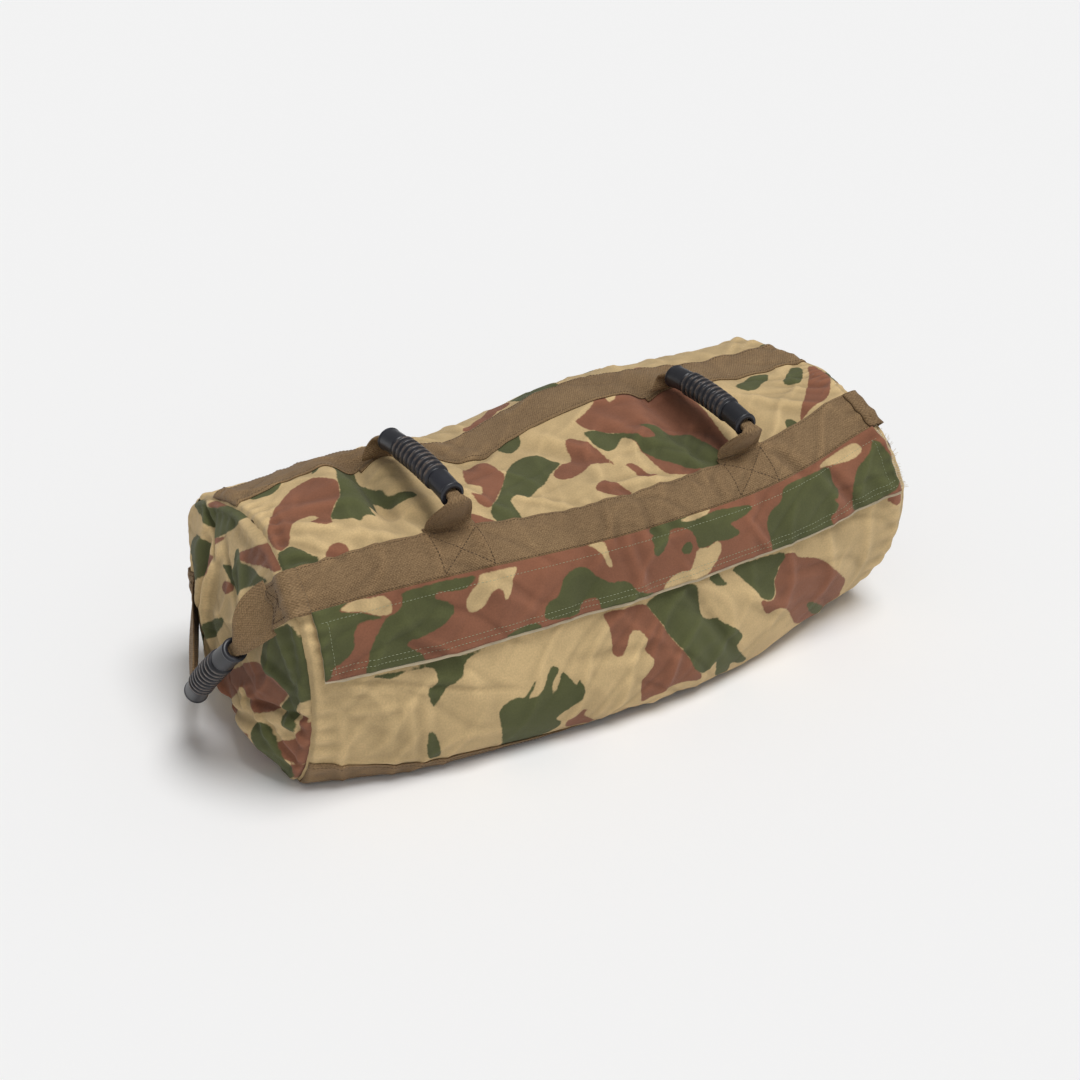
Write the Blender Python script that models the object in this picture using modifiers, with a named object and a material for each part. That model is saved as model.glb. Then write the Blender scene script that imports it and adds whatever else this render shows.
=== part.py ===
"""A sandbag trainer: a canvas bag with webbing straps, four webbing handles with ribbed rubber
grips, a zip under a cover flap, and three tied sacks of sand inside. It lies on its flat
underside, +X along the bag, with the zip and its flap on the front, which faces -Y."""

import math

import bmesh
import bpy
import numpy as np
from mathutils import Matrix, Vector

# Body cloth and its outline across the bag
body_length = 0.600
body_half_depth = 0.147
body_height = 0.220
belly_height = 0.105
floor_press = 0.025
cloth_thickness = 0.0015
end_dome = 0.026
squareness = 3.2
slump_share = 0.08  # how much lower the right end lies than the left, of the height
gap = 0.0003

# Facets
facet_arc = 0.026
facet_run = 0.060
outline_samples = 6001
weld = 0.00001
min_facet = 0.001

# Straps of webbing. Places along the outline are arc lengths from the top middle, forwards and down
strap_width = 0.050
strap_thickness = 0.0018
strap_end_margin = 0.002
top_front_arc = 0.120
top_back_arc = -0.060
bottom_front_arc = 0.3055
bottom_back_arc = -0.250

# Sewn tabs of the handles
tab_width = 0.047
tab_length = 0.030
tab_thickness = 0.0015
tab_show = 0.004
tab_ramp = 0.012
end_tab_inner_share = 0.80
end_tab_outer_share = 0.97

# Grips
grip_length = 0.120
grip_radius = 0.0125
rib_root_radius = 0.0103
collar_radius = 0.0110
lip_radius = 0.0117
lip_length = 0.003
rib_count = 9
rib_zone = 0.066
grip_bow = 0.005
bore_radius = 0.0070
bore_overrun = 0.004

# Handles
handle_place = 0.152
handle_rise = 0.035
handle_y = -0.045
webbing_thickness = 0.0015
webbing_fold_width = 0.0124
webbing_fold_thickness = 0.0046
webbing_lead = 0.006
leg_reach = 0.014
end_grip_out = 0.059
end_grip_y = -0.025
end_grip_z = 0.100
end_grip_tilt = math.radians(50.5)
end_grip_lean = math.radians(7)

# Cover flap, its lining and its hook and loop strips
flap_below_strap = 0.0028
flap_width = 0.061
flap_thickness = 0.0012
flap_end_margin = 0.012
lining_thickness = 0.0005
lining_show = 0.003
flap_top_lift = 0.0004
flap_tunnel_lift = 0.0050
tunnel_half_width = 0.010
hook_margin = 0.004
hook_thickness = 0.0009
loop_thickness = 0.0010
closure_end_margin = 0.022

# Zip
zip_below_seam = 0.0280
zip_length = 0.540
slot_half_width = 0.0075
slot_end_margin = 0.004
tape_half_width = 0.0140
tape_thickness = 0.0008
tape_end_run = 0.010
chain_half_width = 0.0045
spine_depth = 0.0012
tooth_thickness = 0.0026
tooth_pitch = 0.0075
tooth_root = 0.0034
tooth_tip = 0.0028
tooth_tip_clearance = 0.0006
stop_run = 0.0030
stop_rise = 0.0010
stop_half_width = 0.0058
slider_run = 0.012
slider_half_width = 0.0069
slider_wall = 0.0014
slider_clearance = 0.0004
slider_bridge = 0.0022
slider_lug_radius = 0.0006
pull_length = 0.026
pull_width = 0.0075
pull_thickness = 0.0010
pull_hole_radius = 0.0018
edge_round = 0.0004

# Filling
sack_count = 3
sack_end_margin = 0.018
sack_side_margin = 0.013
sack_top_margin = 0.0152
sack_middle_drop = 0.013
sack_wall = 0.0008
sack_neck_radius = 0.020
sack_mouth_radius = 0.028
sand_depth_share = 0.72  # of the body's height
tie_radius = 0.0022
tie_segments = 16
sack_squareness = 2.6
sack_sides = 16

canvas = (0.47, 0.37, 0.21)
webbing_brown = (0.19, 0.12, 0.065)
grip_black = (0.02, 0.02, 0.022)


def collection_named(name):
    """A collection of the scene."""
    made = bpy.data.collections.new(name)
    bpy.context.scene.collection.children.link(made)
    return made


def material_named(name, colour, roughness, metallic=0.0):
    """A plain Principled material."""
    made = bpy.data.materials.new(name)
    made.use_nodes = True
    shader = made.node_tree.nodes["Principled BSDF"]
    shader.inputs["Base Color"].default_value = (*colour, 1)
    shader.inputs["Roughness"].default_value = roughness
    shader.inputs["Metallic"].default_value = metallic
    return made


def add_object(name, mesh, colour, roughness=0.8, metallic=0.0):
    """The object of a finished mesh, in the bag's collection, with a material of its own."""
    made = bpy.data.objects.new(name, mesh)
    parts.objects.link(made)
    mesh.materials.clear()
    mesh.materials.append(material_named(name, colour, roughness, metallic))
    mesh.shade_smooth()
    mesh.set_sharp_from_angle(angle=math.radians(35))
    return made


def outline_table():
    """The body's outline: arc length from the top middle, forwards and down, with y and z there.

    It is a superellipse whose underside is pressed flat on the floor."""
    turn = np.linspace(0, 2 * math.pi, outline_samples)
    power = 2 / squareness
    side, rise = np.sin(turn), np.cos(turn)
    y = -body_half_depth * np.sign(side) * np.abs(side) ** power
    reach = np.where(rise >= 0, body_height - belly_height, belly_height + floor_press)
    z = np.maximum(belly_height + reach * np.sign(rise) * np.abs(rise) ** power, 0)
    arc = np.concatenate([[0], np.cumsum(np.hypot(np.diff(y), np.diff(z)))])
    return arc, y, z


def outline_at(arc):
    """y and z of the outline at an arc length."""
    place = np.mod(arc, girth)
    return np.interp(place, outline[0], outline[1]), np.interp(place, outline[0], outline[2])


def skin(x, arc, lift=0.0):
    """The point lift above the body cloth, at station x and at an arc length along the outline."""
    y, z = outline_at(arc)
    before, after = outline_at(arc - slope_step), outline_at(arc + slope_step)
    slope = np.array([after[0] - before[0], after[1] - before[1]])
    slope = slope / np.hypot(*slope)
    slump = 1 - slump_share * x / body_length
    return np.array([x, y + lift * slope[1], z * slump - lift * slope[0]])


def dome(side, arc, share, lift=0.0):
    """The point lift above an end cloth, at a share of the way from its middle to its seam."""
    seam = skin(side * (body_length / 2 + gap), arc, -cloth_thickness)
    middle = np.array([0, body_height / 2])
    y, z = middle + share * (seam[1:] - middle)
    swell = end_dome * (1 - share**2)
    return np.array([seam[0] + side * (swell + lift), y, z])


def split(edges, longest):
    """The edges, with even steps between them no longer than the longest."""
    edges = sorted(set(np.round(edges, 7)))
    filled = [edges[0]]
    for low, high in zip(edges, edges[1:]):
        steps = math.ceil((high - low) / longest - 0.01)
        filled += list(np.linspace(low, high, max(steps, 1) + 1)[1:])
    return np.array(filled)


def strap_edges(arc):
    return arc - strap_width / 2, arc + strap_width / 2


def ring_arcs():
    """The arc lengths at which the body cloth has corners: all that is sewn on shares them."""
    floor_start = outline[0][np.argmax(outline[2] <= 0)]
    floor_end = girth - floor_start
    edges = [floor_start, floor_end]
    for arc in (top_front_arc, top_back_arc, bottom_front_arc, bottom_back_arc):
        edges += [edge % girth for edge in strap_edges(arc)]
    edges += [zip_arc - slot_half_width, zip_arc + slot_half_width]
    edges += [zip_arc - tape_half_width, *closure_edges()]
    wrapped = sorted(edges)
    closed = split(wrapped + [wrapped[0] + girth], facet_arc)
    return closed[:-1]


def closure_edges():
    """Where the hook and loop strips lie along the outline: from the zip's tape downwards."""
    return zip_arc + tape_half_width, flap_arc + flap_width - hook_margin


def stations(half_length, extra=()):
    """Stations along the bag, evenly spaced, with the extra ones among them."""
    inside = [place for place in extra if abs(place) < half_length]
    return split([-half_length, half_length, *inside], facet_run)


def arcs_between(low, high):
    """The body cloth's own corners from low to high, both included."""
    everywhere = np.concatenate([body_arcs - girth, body_arcs, body_arcs + girth])
    kept = everywhere[(everywhere > low + weld) & (everywhere < high - weld)]
    return np.concatenate([[low], kept, [high]])


def sheet(name, points, thickness, colour, keep=None, ring=False, outward=True, roughness=0.85):
    """Cloth through a grid of points, rows by columns, thickened to its wall.

    The rows run along +X and the columns forwards and down, so the faces point outwards."""
    rows, columns = len(points), len(points[0])
    shape = bmesh.new()
    corners = [[shape.verts.new(point) for point in row] for row in points]
    for row in range(rows - 1):
        for column in range(columns if ring else columns - 1):
            if keep is not None and not keep(row, column):
                continue
            beside = (column + 1) % columns
            shape.faces.new(
                (
                    corners[row][column],
                    corners[row][beside],
                    corners[row + 1][beside],
                    corners[row + 1][column],
                )
            )
    loose = [corner for corner in shape.verts if not corner.link_faces]
    bmesh.ops.delete(shape, geom=loose, context="VERTS")
    mesh = bpy.data.meshes.new(name)
    shape.to_mesh(mesh)
    shape.free()
    made = add_object(name, mesh, colour, roughness)
    thicken(made, thickness, 1 if outward else -1)
    return made


def thicken(made, thickness, offset):
    """A wall on the outer side of a surface for offset 1, on its inner side for -1."""
    wall = made.modifiers.new("wall", "SOLIDIFY")
    wall.thickness = thickness
    wall.offset = offset
    wall.use_even_offset = True


def build_body():
    """The long body cloth: a tube open at both ends, with the slot of the zip."""
    slot_half = zip_length / 2 + slot_end_margin
    places = stations(body_length / 2, (-slot_half, slot_half))
    points = [[skin(x, arc) for arc in body_arcs] for x in places]

    def keep(row, column):
        x = (places[row] + places[row + 1]) / 2
        arc = body_arcs[column] + weld
        inside = zip_arc - slot_half_width <= arc < zip_arc + slot_half_width
        return not (inside and abs(x) < slot_half)

    sheet("barrel_panel", points, cloth_thickness, canvas, keep, ring=True, outward=False)


def build_end_panel(name, side):
    """An end cloth, domed by the filling, inside the body cloth's seam."""
    shape = bmesh.new()
    shares = (1.0, 0.78, 0.45)
    rings = [
        [shape.verts.new(dome(side, arc, share)) for arc in body_arcs] for share in shares
    ]
    middle = shape.verts.new(dome(side, body_arcs[0], 0))
    count = len(body_arcs)
    for outer, inner in zip(rings, rings[1:]):
        for i in range(count):
            shape.faces.new((outer[i], outer[(i + 1) % count], inner[(i + 1) % count], inner[i]))
    for i in range(count):
        shape.faces.new((rings[-1][i], rings[-1][(i + 1) % count], middle))
    bmesh.ops.recalc_face_normals(shape, faces=shape.faces)
    if sum(face.normal.x * side for face in shape.faces) < 0:
        bmesh.ops.reverse_faces(shape, faces=shape.faces)
    mesh = bpy.data.meshes.new(name)
    shape.to_mesh(mesh)
    shape.free()
    thicken(add_object(name, mesh, canvas), cloth_thickness, 1)


def tab_rise(x):
    """How far a top strap rises at station x, where it is sewn over a handle's tab."""
    beyond = abs(abs(x) - handle_place) - tab_width / 2 - gap
    share = min(max(1 - beyond / tab_ramp, 0), 1)
    return share * (tab_thickness + gap)


def build_strap(name, arc, over_tabs):
    """A webbing strap along the bag, which rises over the tabs that it holds down."""
    half = body_length / 2 - strap_end_margin
    reaches = (tab_width / 2 + gap, tab_width / 2 + gap + tab_ramp)
    extra = [side * (handle_place + way * reach) for side in (-1, 1) for way in (-1, 1) for reach in reaches]
    places = stations(half, extra if over_tabs else ())
    columns = arcs_between(*strap_edges(arc))
    points = [
        [skin(x, column, gap + (tab_rise(x) if over_tabs else 0)) for column in columns]
        for x in places
    ]
    sheet(name, points, strap_thickness, webbing_brown)


def build_top_tab(name, x, edge, way):
    """The sewn end of a top handle's webbing, caught under a strap's edge."""
    low, high = sorted((edge - way * tab_show, edge + way * (tab_length - tab_show)))
    places = (x - tab_width / 2, x, x + tab_width / 2)
    columns = arcs_between(low, high)
    points = [[skin(place, column, gap) for column in columns] for place in places]
    sheet(name, points, tab_thickness, webbing_brown)


def build_end_tab(name, side, arc):
    """The sewn end of an end handle's webbing, flat on the end cloth beside the seam."""
    columns = arcs_between(arc - tab_width / 2, arc + tab_width / 2)
    shares = np.linspace(end_tab_inner_share, end_tab_outer_share, 3)
    lift = cloth_thickness + 2 * gap
    rows = [[dome(side, column, share, lift) for column in columns] for share in shares]
    if side > 0:
        rows.reverse()
    sheet(name, rows, tab_thickness, webbing_brown)


def curve_solid(name, points, radii, resolution):
    """A closed mesh tube through the points, with a radius at each."""
    line = bpy.data.curves.new(name, "CURVE")
    line.dimensions = "3D"
    line.bevel_depth = 1
    line.bevel_resolution = resolution
    line.use_fill_caps = True
    spline = line.splines.new("POLY")
    spline.points.add(len(points) - 1)
    for corner, point, radius in zip(spline.points, points, radii):
        corner.co = (*point, 1)
        corner.radius = radius
    return curve_to_mesh(name, line)


def flat_solid(name, outlines, thickness):
    """A flat plate in the XY plane from closed outlines, the later ones being holes."""
    line = bpy.data.curves.new(name, "CURVE")
    line.dimensions = "2D"
    line.fill_mode = "BOTH"
    line.extrude = thickness / 2
    for outline_points in outlines:
        spline = line.splines.new("POLY")
        spline.points.add(len(outline_points) - 1)
        for corner, (x, y) in zip(spline.points, outline_points):
            corner.co = (x, y, 0, 1)
        spline.use_cyclic_u = True
    return curve_to_mesh(name, line)


def curve_to_mesh(name, line):
    """The mesh of a curve, with its caps welded on."""
    holder = bpy.data.objects.new(name, line)
    bpy.context.scene.collection.objects.link(holder)
    graph = bpy.context.evaluated_depsgraph_get()
    mesh = bpy.data.meshes.new_from_object(holder.evaluated_get(graph))
    bpy.data.objects.remove(holder)
    shape = bmesh.new()
    shape.from_mesh(mesh)
    bmesh.ops.remove_doubles(shape, verts=shape.verts, dist=weld)
    bmesh.ops.recalc_face_normals(shape, faces=shape.faces)
    shape.to_mesh(mesh)
    shape.free()
    mesh.name = name
    return mesh


def hidden_object(name, mesh):
    """A cutter, or a shape that is joined to another, kept out of the finished part."""
    made = bpy.data.objects.new(name, mesh)
    cutters.objects.link(made)
    made.hide_render = True
    made.display_type = "WIRE"
    return made


def combine(made, other, operation):
    """Cut or join another object by a Boolean."""
    step = made.modifiers.new(operation.lower(), "BOOLEAN")
    step.operation = operation
    step.object = other
    step.solver = "EXACT"


def box_mesh(name, size, centre):
    """A box of a size about a centre."""
    shape = bmesh.new()
    bmesh.ops.create_cube(shape, size=1)
    bmesh.ops.scale(shape, vec=Vector(size), verts=shape.verts)
    bmesh.ops.translate(shape, vec=Vector(centre), verts=shape.verts)
    mesh = bpy.data.meshes.new(name)
    shape.to_mesh(mesh)
    shape.free()
    return mesh


def grip_profile():
    """Distances along a grip and its radius there: a lip, a smooth collar, nine ribs, and again."""
    collar = (grip_length - rib_zone) / 2
    pitch = rib_zone / rib_count
    half = [
        (0, collar_radius),
        (lip_length / 3, lip_radius),
        (lip_length, lip_radius),
        (lip_length * 4 / 3, collar_radius),
        (collar - pitch / 4, collar_radius),
        (collar, rib_root_radius),
    ]
    ribs = []
    for i in range(rib_count):
        start = collar + i * pitch
        ribs.append((start + pitch * 0.26, grip_radius))
        ribs.append((start + pitch * 0.74, grip_radius))
        if i < rib_count - 1:
            ribs.append((start + pitch, rib_root_radius))
    back = [(grip_length - along, radius) for along, radius in reversed(half)]
    return half + ribs + back


def bow_point(centre, axis, bow, along):
    """A point on a grip's bowed centre line, along from its middle."""
    dip = grip_bow * (2 * along / grip_length) ** 2
    return centre + along * axis - dip * bow


def build_grip(name, centre, axis, bow):
    """A ribbed rubber grip, bowed a little, with a bore for its webbing."""
    profile = grip_profile()
    points = [bow_point(centre, axis, bow, along - grip_length / 2) for along, _ in profile]
    made = add_object(
        name, curve_solid(name, points, [radius for _, radius in profile], 3), grip_black, 0.55
    )
    reach = grip_length / 2 + bore_overrun
    bore_points = [bow_point(centre, axis, bow, along) for along in np.linspace(-reach, reach, 7)]
    bore = curve_solid(name + "_bore", bore_points, [bore_radius] * len(bore_points), 2)
    combine(made, hidden_object(name + "_bore", bore), "DIFFERENCE")
    return made


def bezier(start, lead, arrive, end, count):
    """Points of a cubic curve, without its last."""
    t = np.linspace(0, 1, count + 1)[:-1, None]
    u = 1 - t
    return u**3 * start + 3 * u**2 * t * lead + 3 * u * t**2 * arrive + t**3 * end


def band(name, path, widths, thicknesses, across):
    """Webbing carried along a path, as a rounded flat section that may change its width."""
    shares = ((1, 0.35), (0.8, 1), (-0.8, 1), (-1, 0.35), (-1, -0.35), (-0.8, -1), (0.8, -1), (1, -0.35))
    run = np.gradient(path, axis=0)
    run /= np.linalg.norm(run, axis=1)[:, None]
    share = np.linspace(0, 1, len(path))[:, None]
    across = (1 - share) * across[0] + share * across[1]
    wide = across - np.sin(math.pi * share) * np.sum(run * across, axis=1)[:, None] * run
    wide /= np.linalg.norm(wide, axis=1)[:, None]
    flat = np.cross(run, wide)
    flat /= np.linalg.norm(flat, axis=1)[:, None]
    shape = bmesh.new()
    rings = []
    for place, side, up, width, thickness in zip(path, wide, flat, widths, thicknesses):
        rings.append(
            [
                shape.verts.new(place + side * width / 2 * a + up * thickness / 2 * b)
                for a, b in shares
            ]
        )
    count = len(shares)
    for one, two in zip(rings, rings[1:]):
        for i in range(count):
            j = (i + 1) % count
            shape.faces.new((one[i], one[j], two[j], two[i]))
    shape.faces.new(rings[0][::-1])
    shape.faces.new(rings[-1])
    bmesh.ops.recalc_face_normals(shape, faces=shape.faces)
    mesh = bpy.data.meshes.new(name)
    shape.to_mesh(mesh)
    shape.free()
    return add_object(name, mesh, webbing_brown)


def build_handle(name, anchors, controls, centre, axis, bow, across):
    """A handle's webbing from one anchor through its grip to the other, and the grip on it.

    Both hang from an empty on the line through the anchors, about which the handle swings."""
    start, end = anchors
    leave, arrive = controls
    reach = grip_length / 2 + webbing_lead
    first, last = (bow_point(centre, axis, bow, along) for along in (-reach, reach))
    through = [bow_point(centre, axis, bow, along) for along in np.linspace(-reach, reach, 7)]
    one = bezier(start, start + leave, first - axis * leg_reach, first, 7)
    two = bezier(last, last + axis * leg_reach, end + arrive, end, 7)
    path = np.array([*one, *through, *two[1:], end])
    taper = np.array([1, 0.98, 0.86, 0.66, 0.42, 0.18, 0.03])
    shares = np.concatenate([taper, np.zeros(len(through)), taper[::-1]])
    widths = webbing_fold_width + (tab_width - webbing_fold_width) * shares
    thicknesses = webbing_fold_thickness + (webbing_thickness - webbing_fold_thickness) * shares
    pivot = bpy.data.objects.new(name + "_pivot", None)
    parts.objects.link(pivot)
    pivot.location = start
    pivot.rotation_mode = "QUATERNION"
    pivot.rotation_quaternion = Vector(end - start).to_track_quat("Y", "Z")
    bpy.context.view_layer.update()
    webbing = band(name + "_webbing", path, widths, thicknesses, across)
    for made in (webbing, build_grip(name + "_grip", centre, axis, bow)):
        made.parent = pivot
        made.matrix_parent_inverse = pivot.matrix_world.inverted()
    print(name, "swings about the line from", np.round(start, 4), "to", np.round(end, 4))


def build_top_handle(name, x):
    """A handle across the top, from under the top front strap to under the top back strap."""
    front_edge = strap_edges(top_front_arc)[0]
    back_edge = strap_edges(top_back_arc)[1]
    build_top_tab(name + "_front_tab", x, front_edge, 1)
    build_top_tab(name + "_back_tab", x, back_edge, -1)
    clear = tab_show + tab_thickness
    lift = 2 * gap + webbing_thickness / 2
    start = skin(x, front_edge - clear, lift)
    end = skin(x, back_edge + clear, lift)
    top = skin(x, -handle_y)[2]
    centre = np.array([x, handle_y, top + handle_rise])
    axis, bow = np.array([0.0, 1.0, 0.0]), np.array([0.0, 0.0, 1.0])
    leave = skin(x, front_edge - clear - leg_reach, lift) - start
    arrive = skin(x, back_edge + clear + leg_reach / 2, lift + leg_reach / 2) - end
    across = (np.array([-1.0, 0.0, 0.0]),) * 2
    build_handle(name, (start, end), (leave, arrive), centre, axis, bow, across)


def end_anchor(side, arc):
    """Where an end handle's webbing leaves its tab, the way inwards there and the way across."""
    share = end_tab_inner_share - tab_show / body_half_depth
    lift = cloth_thickness + 2 * gap + webbing_thickness / 2
    across = dome(side, arc + slope_step, share) - dome(side, arc - slope_step, share)
    across /= np.linalg.norm(across)
    inward = np.cross(across, (1.0, 0.0, 0.0))
    point = dome(side, arc, share, lift)
    if inward @ (point - dome(side, arc, 0)) > 0:
        inward = -inward
    return point, inward, across


def build_end_handle(name, side):
    """A handle across an end cloth, from the top front strap to the bottom back strap."""
    build_end_tab(name + "_front_tab", side, top_front_arc)
    build_end_tab(name + "_back_tab", side, bottom_back_arc)
    start, start_inward, start_across = end_anchor(side, top_front_arc)
    end, end_inward, end_across = end_anchor(side, bottom_back_arc)
    out = np.array([float(side), 0.0, 0.0])
    centre = np.array([side * (body_length / 2 + end_grip_out), end_grip_y, end_grip_z])
    flat = math.cos(end_grip_tilt)
    axis = np.array([side * math.sin(end_grip_lean) * flat, flat, -math.sin(end_grip_tilt)])
    axis /= np.linalg.norm(axis)
    bow = out - (out @ axis) * axis
    bow /= np.linalg.norm(bow)
    leave = leg_reach * (start_inward + out)
    arrive = leg_reach * (end_inward + 2 * out)
    across = (start_across, -end_across)
    build_handle(name, (start, end), (leave, arrive), centre, axis, bow, across)


def flap_lift(arc, inner):
    """The lift of a layer of the flap: low at its seam, over the zip, then over the closure."""
    share_of_tunnel = (arc - flap_arc) / (zip_arc - tunnel_half_width - flap_arc)
    closed = closure_edges()[0]
    stack = 3 * gap + loop_thickness + hook_thickness
    if arc <= zip_arc - tunnel_half_width:
        return inner + flap_top_lift + (flap_tunnel_lift - flap_top_lift) * max(share_of_tunnel, 0)
    past = (arc - zip_arc - tunnel_half_width) / (closed - zip_arc - tunnel_half_width)
    return inner + flap_tunnel_lift + (stack - flap_tunnel_lift) * min(max(past, 0), 1)


def flap_columns(low, high):
    """The body cloth's corners under the flap, with those of the flap's own rise over the zip."""
    edges = (zip_arc - tunnel_half_width, zip_arc + tunnel_half_width, flap_arc + flap_width)
    under = arcs_between(low, high)
    near = [np.min(np.abs(edge - under)) < min_facet for edge in edges]
    inside = [edge for edge, taken in zip(edges, near) if not taken]
    return np.sort([*under, *inside])


def build_flap():
    """The flap over the zip: canvas outside, a pale lining that shows below, and hook strip."""
    half = body_length / 2 - flap_end_margin
    places = stations(half)
    low_edge = flap_arc + flap_width
    layers = (
        ("cover_flap", flap_arc, low_edge, lining_thickness + gap, flap_thickness, canvas),
        ("flap_lining", flap_arc, low_edge + lining_show, 0, lining_thickness, (0.7, 0.6, 0.44)),
    )
    hinge = skin(0, flap_arc, flap_top_lift + lining_thickness + gap + flap_thickness)
    pivot = bpy.data.objects.new("cover_flap_pivot", None)
    parts.objects.link(pivot)
    pivot.location = hinge
    bpy.context.view_layer.update()
    made = []
    for name, top, bottom, inner, thickness, colour in layers:
        columns = flap_columns(top, bottom)
        points = [[skin(x, arc, flap_lift(arc, inner)) for arc in columns] for x in places]
        made.append(sheet(name, points, thickness, colour))
    closed = stations(half - closure_end_margin)
    arcs = arcs_between(*closure_edges())
    hook_lift = 2 * gap + loop_thickness
    hook = [[skin(x, arc, hook_lift) for arc in arcs] for x in closed]
    made.append(sheet("flap_hook_strip", hook, hook_thickness, grip_black))
    for piece in made:
        piece.parent = pivot
        piece.matrix_parent_inverse = pivot.matrix_world.inverted()
    loop = [[skin(x, arc, gap) for arc in arcs] for x in closed]
    sheet("flap_loop_strip", loop, loop_thickness, (0.09, 0.07, 0.045))
    line = skin(body_length / 2, flap_arc) - skin(-body_length / 2, flap_arc)
    print("flap hinge at", np.round(hinge, 4), "along", np.round(line / np.linalg.norm(line), 5))


def zip_frame():
    """The zip's own frame: x along it, y up across it, z outwards, on the body cloth's outside."""
    along = Vector(skin(body_length / 2, zip_arc) - skin(-body_length / 2, zip_arc)).normalized()
    outward = Vector(skin(0, zip_arc, 1) - skin(0, zip_arc)).normalized()
    upward = outward.cross(along).normalized()
    outward = along.cross(upward)
    turn = Matrix((along, upward, outward)).transposed().to_4x4()
    return Matrix.Translation(Vector(skin(0, zip_arc))) @ turn


def place_in_zip(made, centre=(0, 0, 0)):
    made.matrix_world = zip_frame() @ Matrix.Translation(Vector(centre))
    return made


def tooth_places(shift):
    """The middles of one side's teeth, shifted by half a pitch on the other side."""
    count = int((zip_length - 2 * slider_run) / tooth_pitch)
    first = -zip_length / 2 + stop_run + tooth_pitch
    return [first + (i + shift) * tooth_pitch for i in range(count)]


def build_teeth(name, way, shift):
    """One side of the chain: a spine with teeth that reach past the middle into the other side."""
    root = chain_half_width - spine_depth
    tip = tooth_tip_clearance - root
    teeth = tooth_places(shift)
    end_left, end_right = teeth[0] - tooth_pitch, teeth[-1] + tooth_pitch / 2
    points = [(end_right, root), (end_right, chain_half_width), (end_left, chain_half_width), (end_left, root)]
    for middle in teeth:
        points.append((middle - tooth_root / 2, root))
        points.append((middle - tooth_tip / 2, tip))
        points.append((middle + tooth_tip / 2, tip))
        points.append((middle + tooth_root / 2, root))
    outline_points = [(x, way * y) for x, y in points]
    made = add_object(name, flat_solid(name, [outline_points], tooth_thickness), (0.16, 0.11, 0.05), 0.4)
    place_in_zip(made, (0, 0, -zip_depth))


def build_tape(name, way):
    """A zip tape, sewn flat inside the body cloth beside the slot."""
    near = zip_arc - way * (chain_half_width + gap)
    far = zip_arc - way * tape_half_width
    columns = arcs_between(*sorted((near, far)))
    places = stations(zip_length / 2 + tape_end_run)
    lift = -cloth_thickness - gap - tape_thickness
    points = [[skin(x, arc, lift) for arc in columns] for x in places]
    sheet(name, points, tape_thickness, webbing_brown)


def build_stop(name, side):
    """A stop across the tapes at one end of the chain."""
    x = side * (zip_length / 2 - stop_run / 2)
    depth = tooth_thickness / 2
    size = (stop_run, 2 * chain_half_width - 2 * gap, depth + stop_rise)
    made = add_object(name, box_mesh(name, size, (0, 0, 0)), (0.5, 0.38, 0.16), 0.35, 1.0)
    soften(made)
    place_in_zip(made, (x, 0, -zip_depth + stop_rise / 2))


def soften(made):
    """Small rounded edges."""
    step = made.modifiers.new("edges", "BEVEL")
    step.width = edge_round
    step.segments = 1


def slider_plate(name, level):
    """A plate of the slider: wide where the chains part, drawn in where they leave it closed."""
    rear, front = -slider_run / 2, slider_run / 2
    narrow = slider_half_width * 0.86
    outline_points = [
        (rear, -narrow),
        (front * 0.3, -slider_half_width),
        (front * 0.8, -slider_half_width * 0.8),
        (front, -slider_half_width * 0.4),
        (front, slider_half_width * 0.4),
        (front * 0.8, slider_half_width * 0.8),
        (front * 0.3, slider_half_width),
        (rear, narrow),
    ]
    mesh = flat_solid(name, [outline_points], slider_wall)
    mesh.transform(Matrix.Translation((0, 0, level)))
    return mesh


def build_slider():
    """The slider: two plates with turned-in flanges and the bridge that parts the teeth, and a
    lug for the pull. It stands at the right end, past the last teeth."""
    inner = tooth_thickness / 2 + slider_clearance
    level = inner + slider_wall / 2
    made = add_object("zip_slider", slider_plate("zip_slider", level), (0.5, 0.38, 0.16), 0.35, 1.0)
    pieces = [slider_plate("slider_bottom", -level)]
    bridge_size = (slider_bridge, slider_bridge, 2 * inner + slider_wall)
    pieces.append(box_mesh("slider_bridge", bridge_size, (slider_run / 2 - slider_bridge, 0, 0)))
    slot = tape_thickness / 2 + slider_clearance
    flange_rise = inner + slider_wall / 2 - slot
    flange_wide = slider_half_width * 0.86 - chain_half_width - slider_clearance
    for way in (-1, 1):
        for top in (-1, 1):
            middle = (
                -slider_run * 0.1,
                way * (chain_half_width + slider_clearance + flange_wide / 2),
                top * (slot + flange_rise / 2),
            )
            size = (slider_run * 0.75, flange_wide, flange_rise)
            pieces.append(box_mesh("slider_flange", size, middle))
    lug_rise = slider_wall / 2 + 2 * gap + pull_thickness + slider_lug_radius
    lug = [
        (-slider_run * 0.3, 0, level),
        (-slider_run * 0.3, 0, level + lug_rise),
        (slider_run * 0.2, 0, level + lug_rise),
        (slider_run * 0.2, 0, level),
    ]
    pieces.append(curve_solid("slider_lug", lug, [slider_lug_radius] * 4, 1))
    x = zip_length / 2 - stop_run - slider_run / 2 - 2 * gap
    place_in_zip(made, (x, 0, -zip_depth))
    for mesh in pieces:
        joined = hidden_object(mesh.name, mesh)
        joined.matrix_world = made.matrix_world
        combine(made, joined, "UNION")
    build_pull(made, level)
    print("slider at", np.round(made.matrix_world.translation, 4), "along", zip_frame().col[0].xyz)


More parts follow.
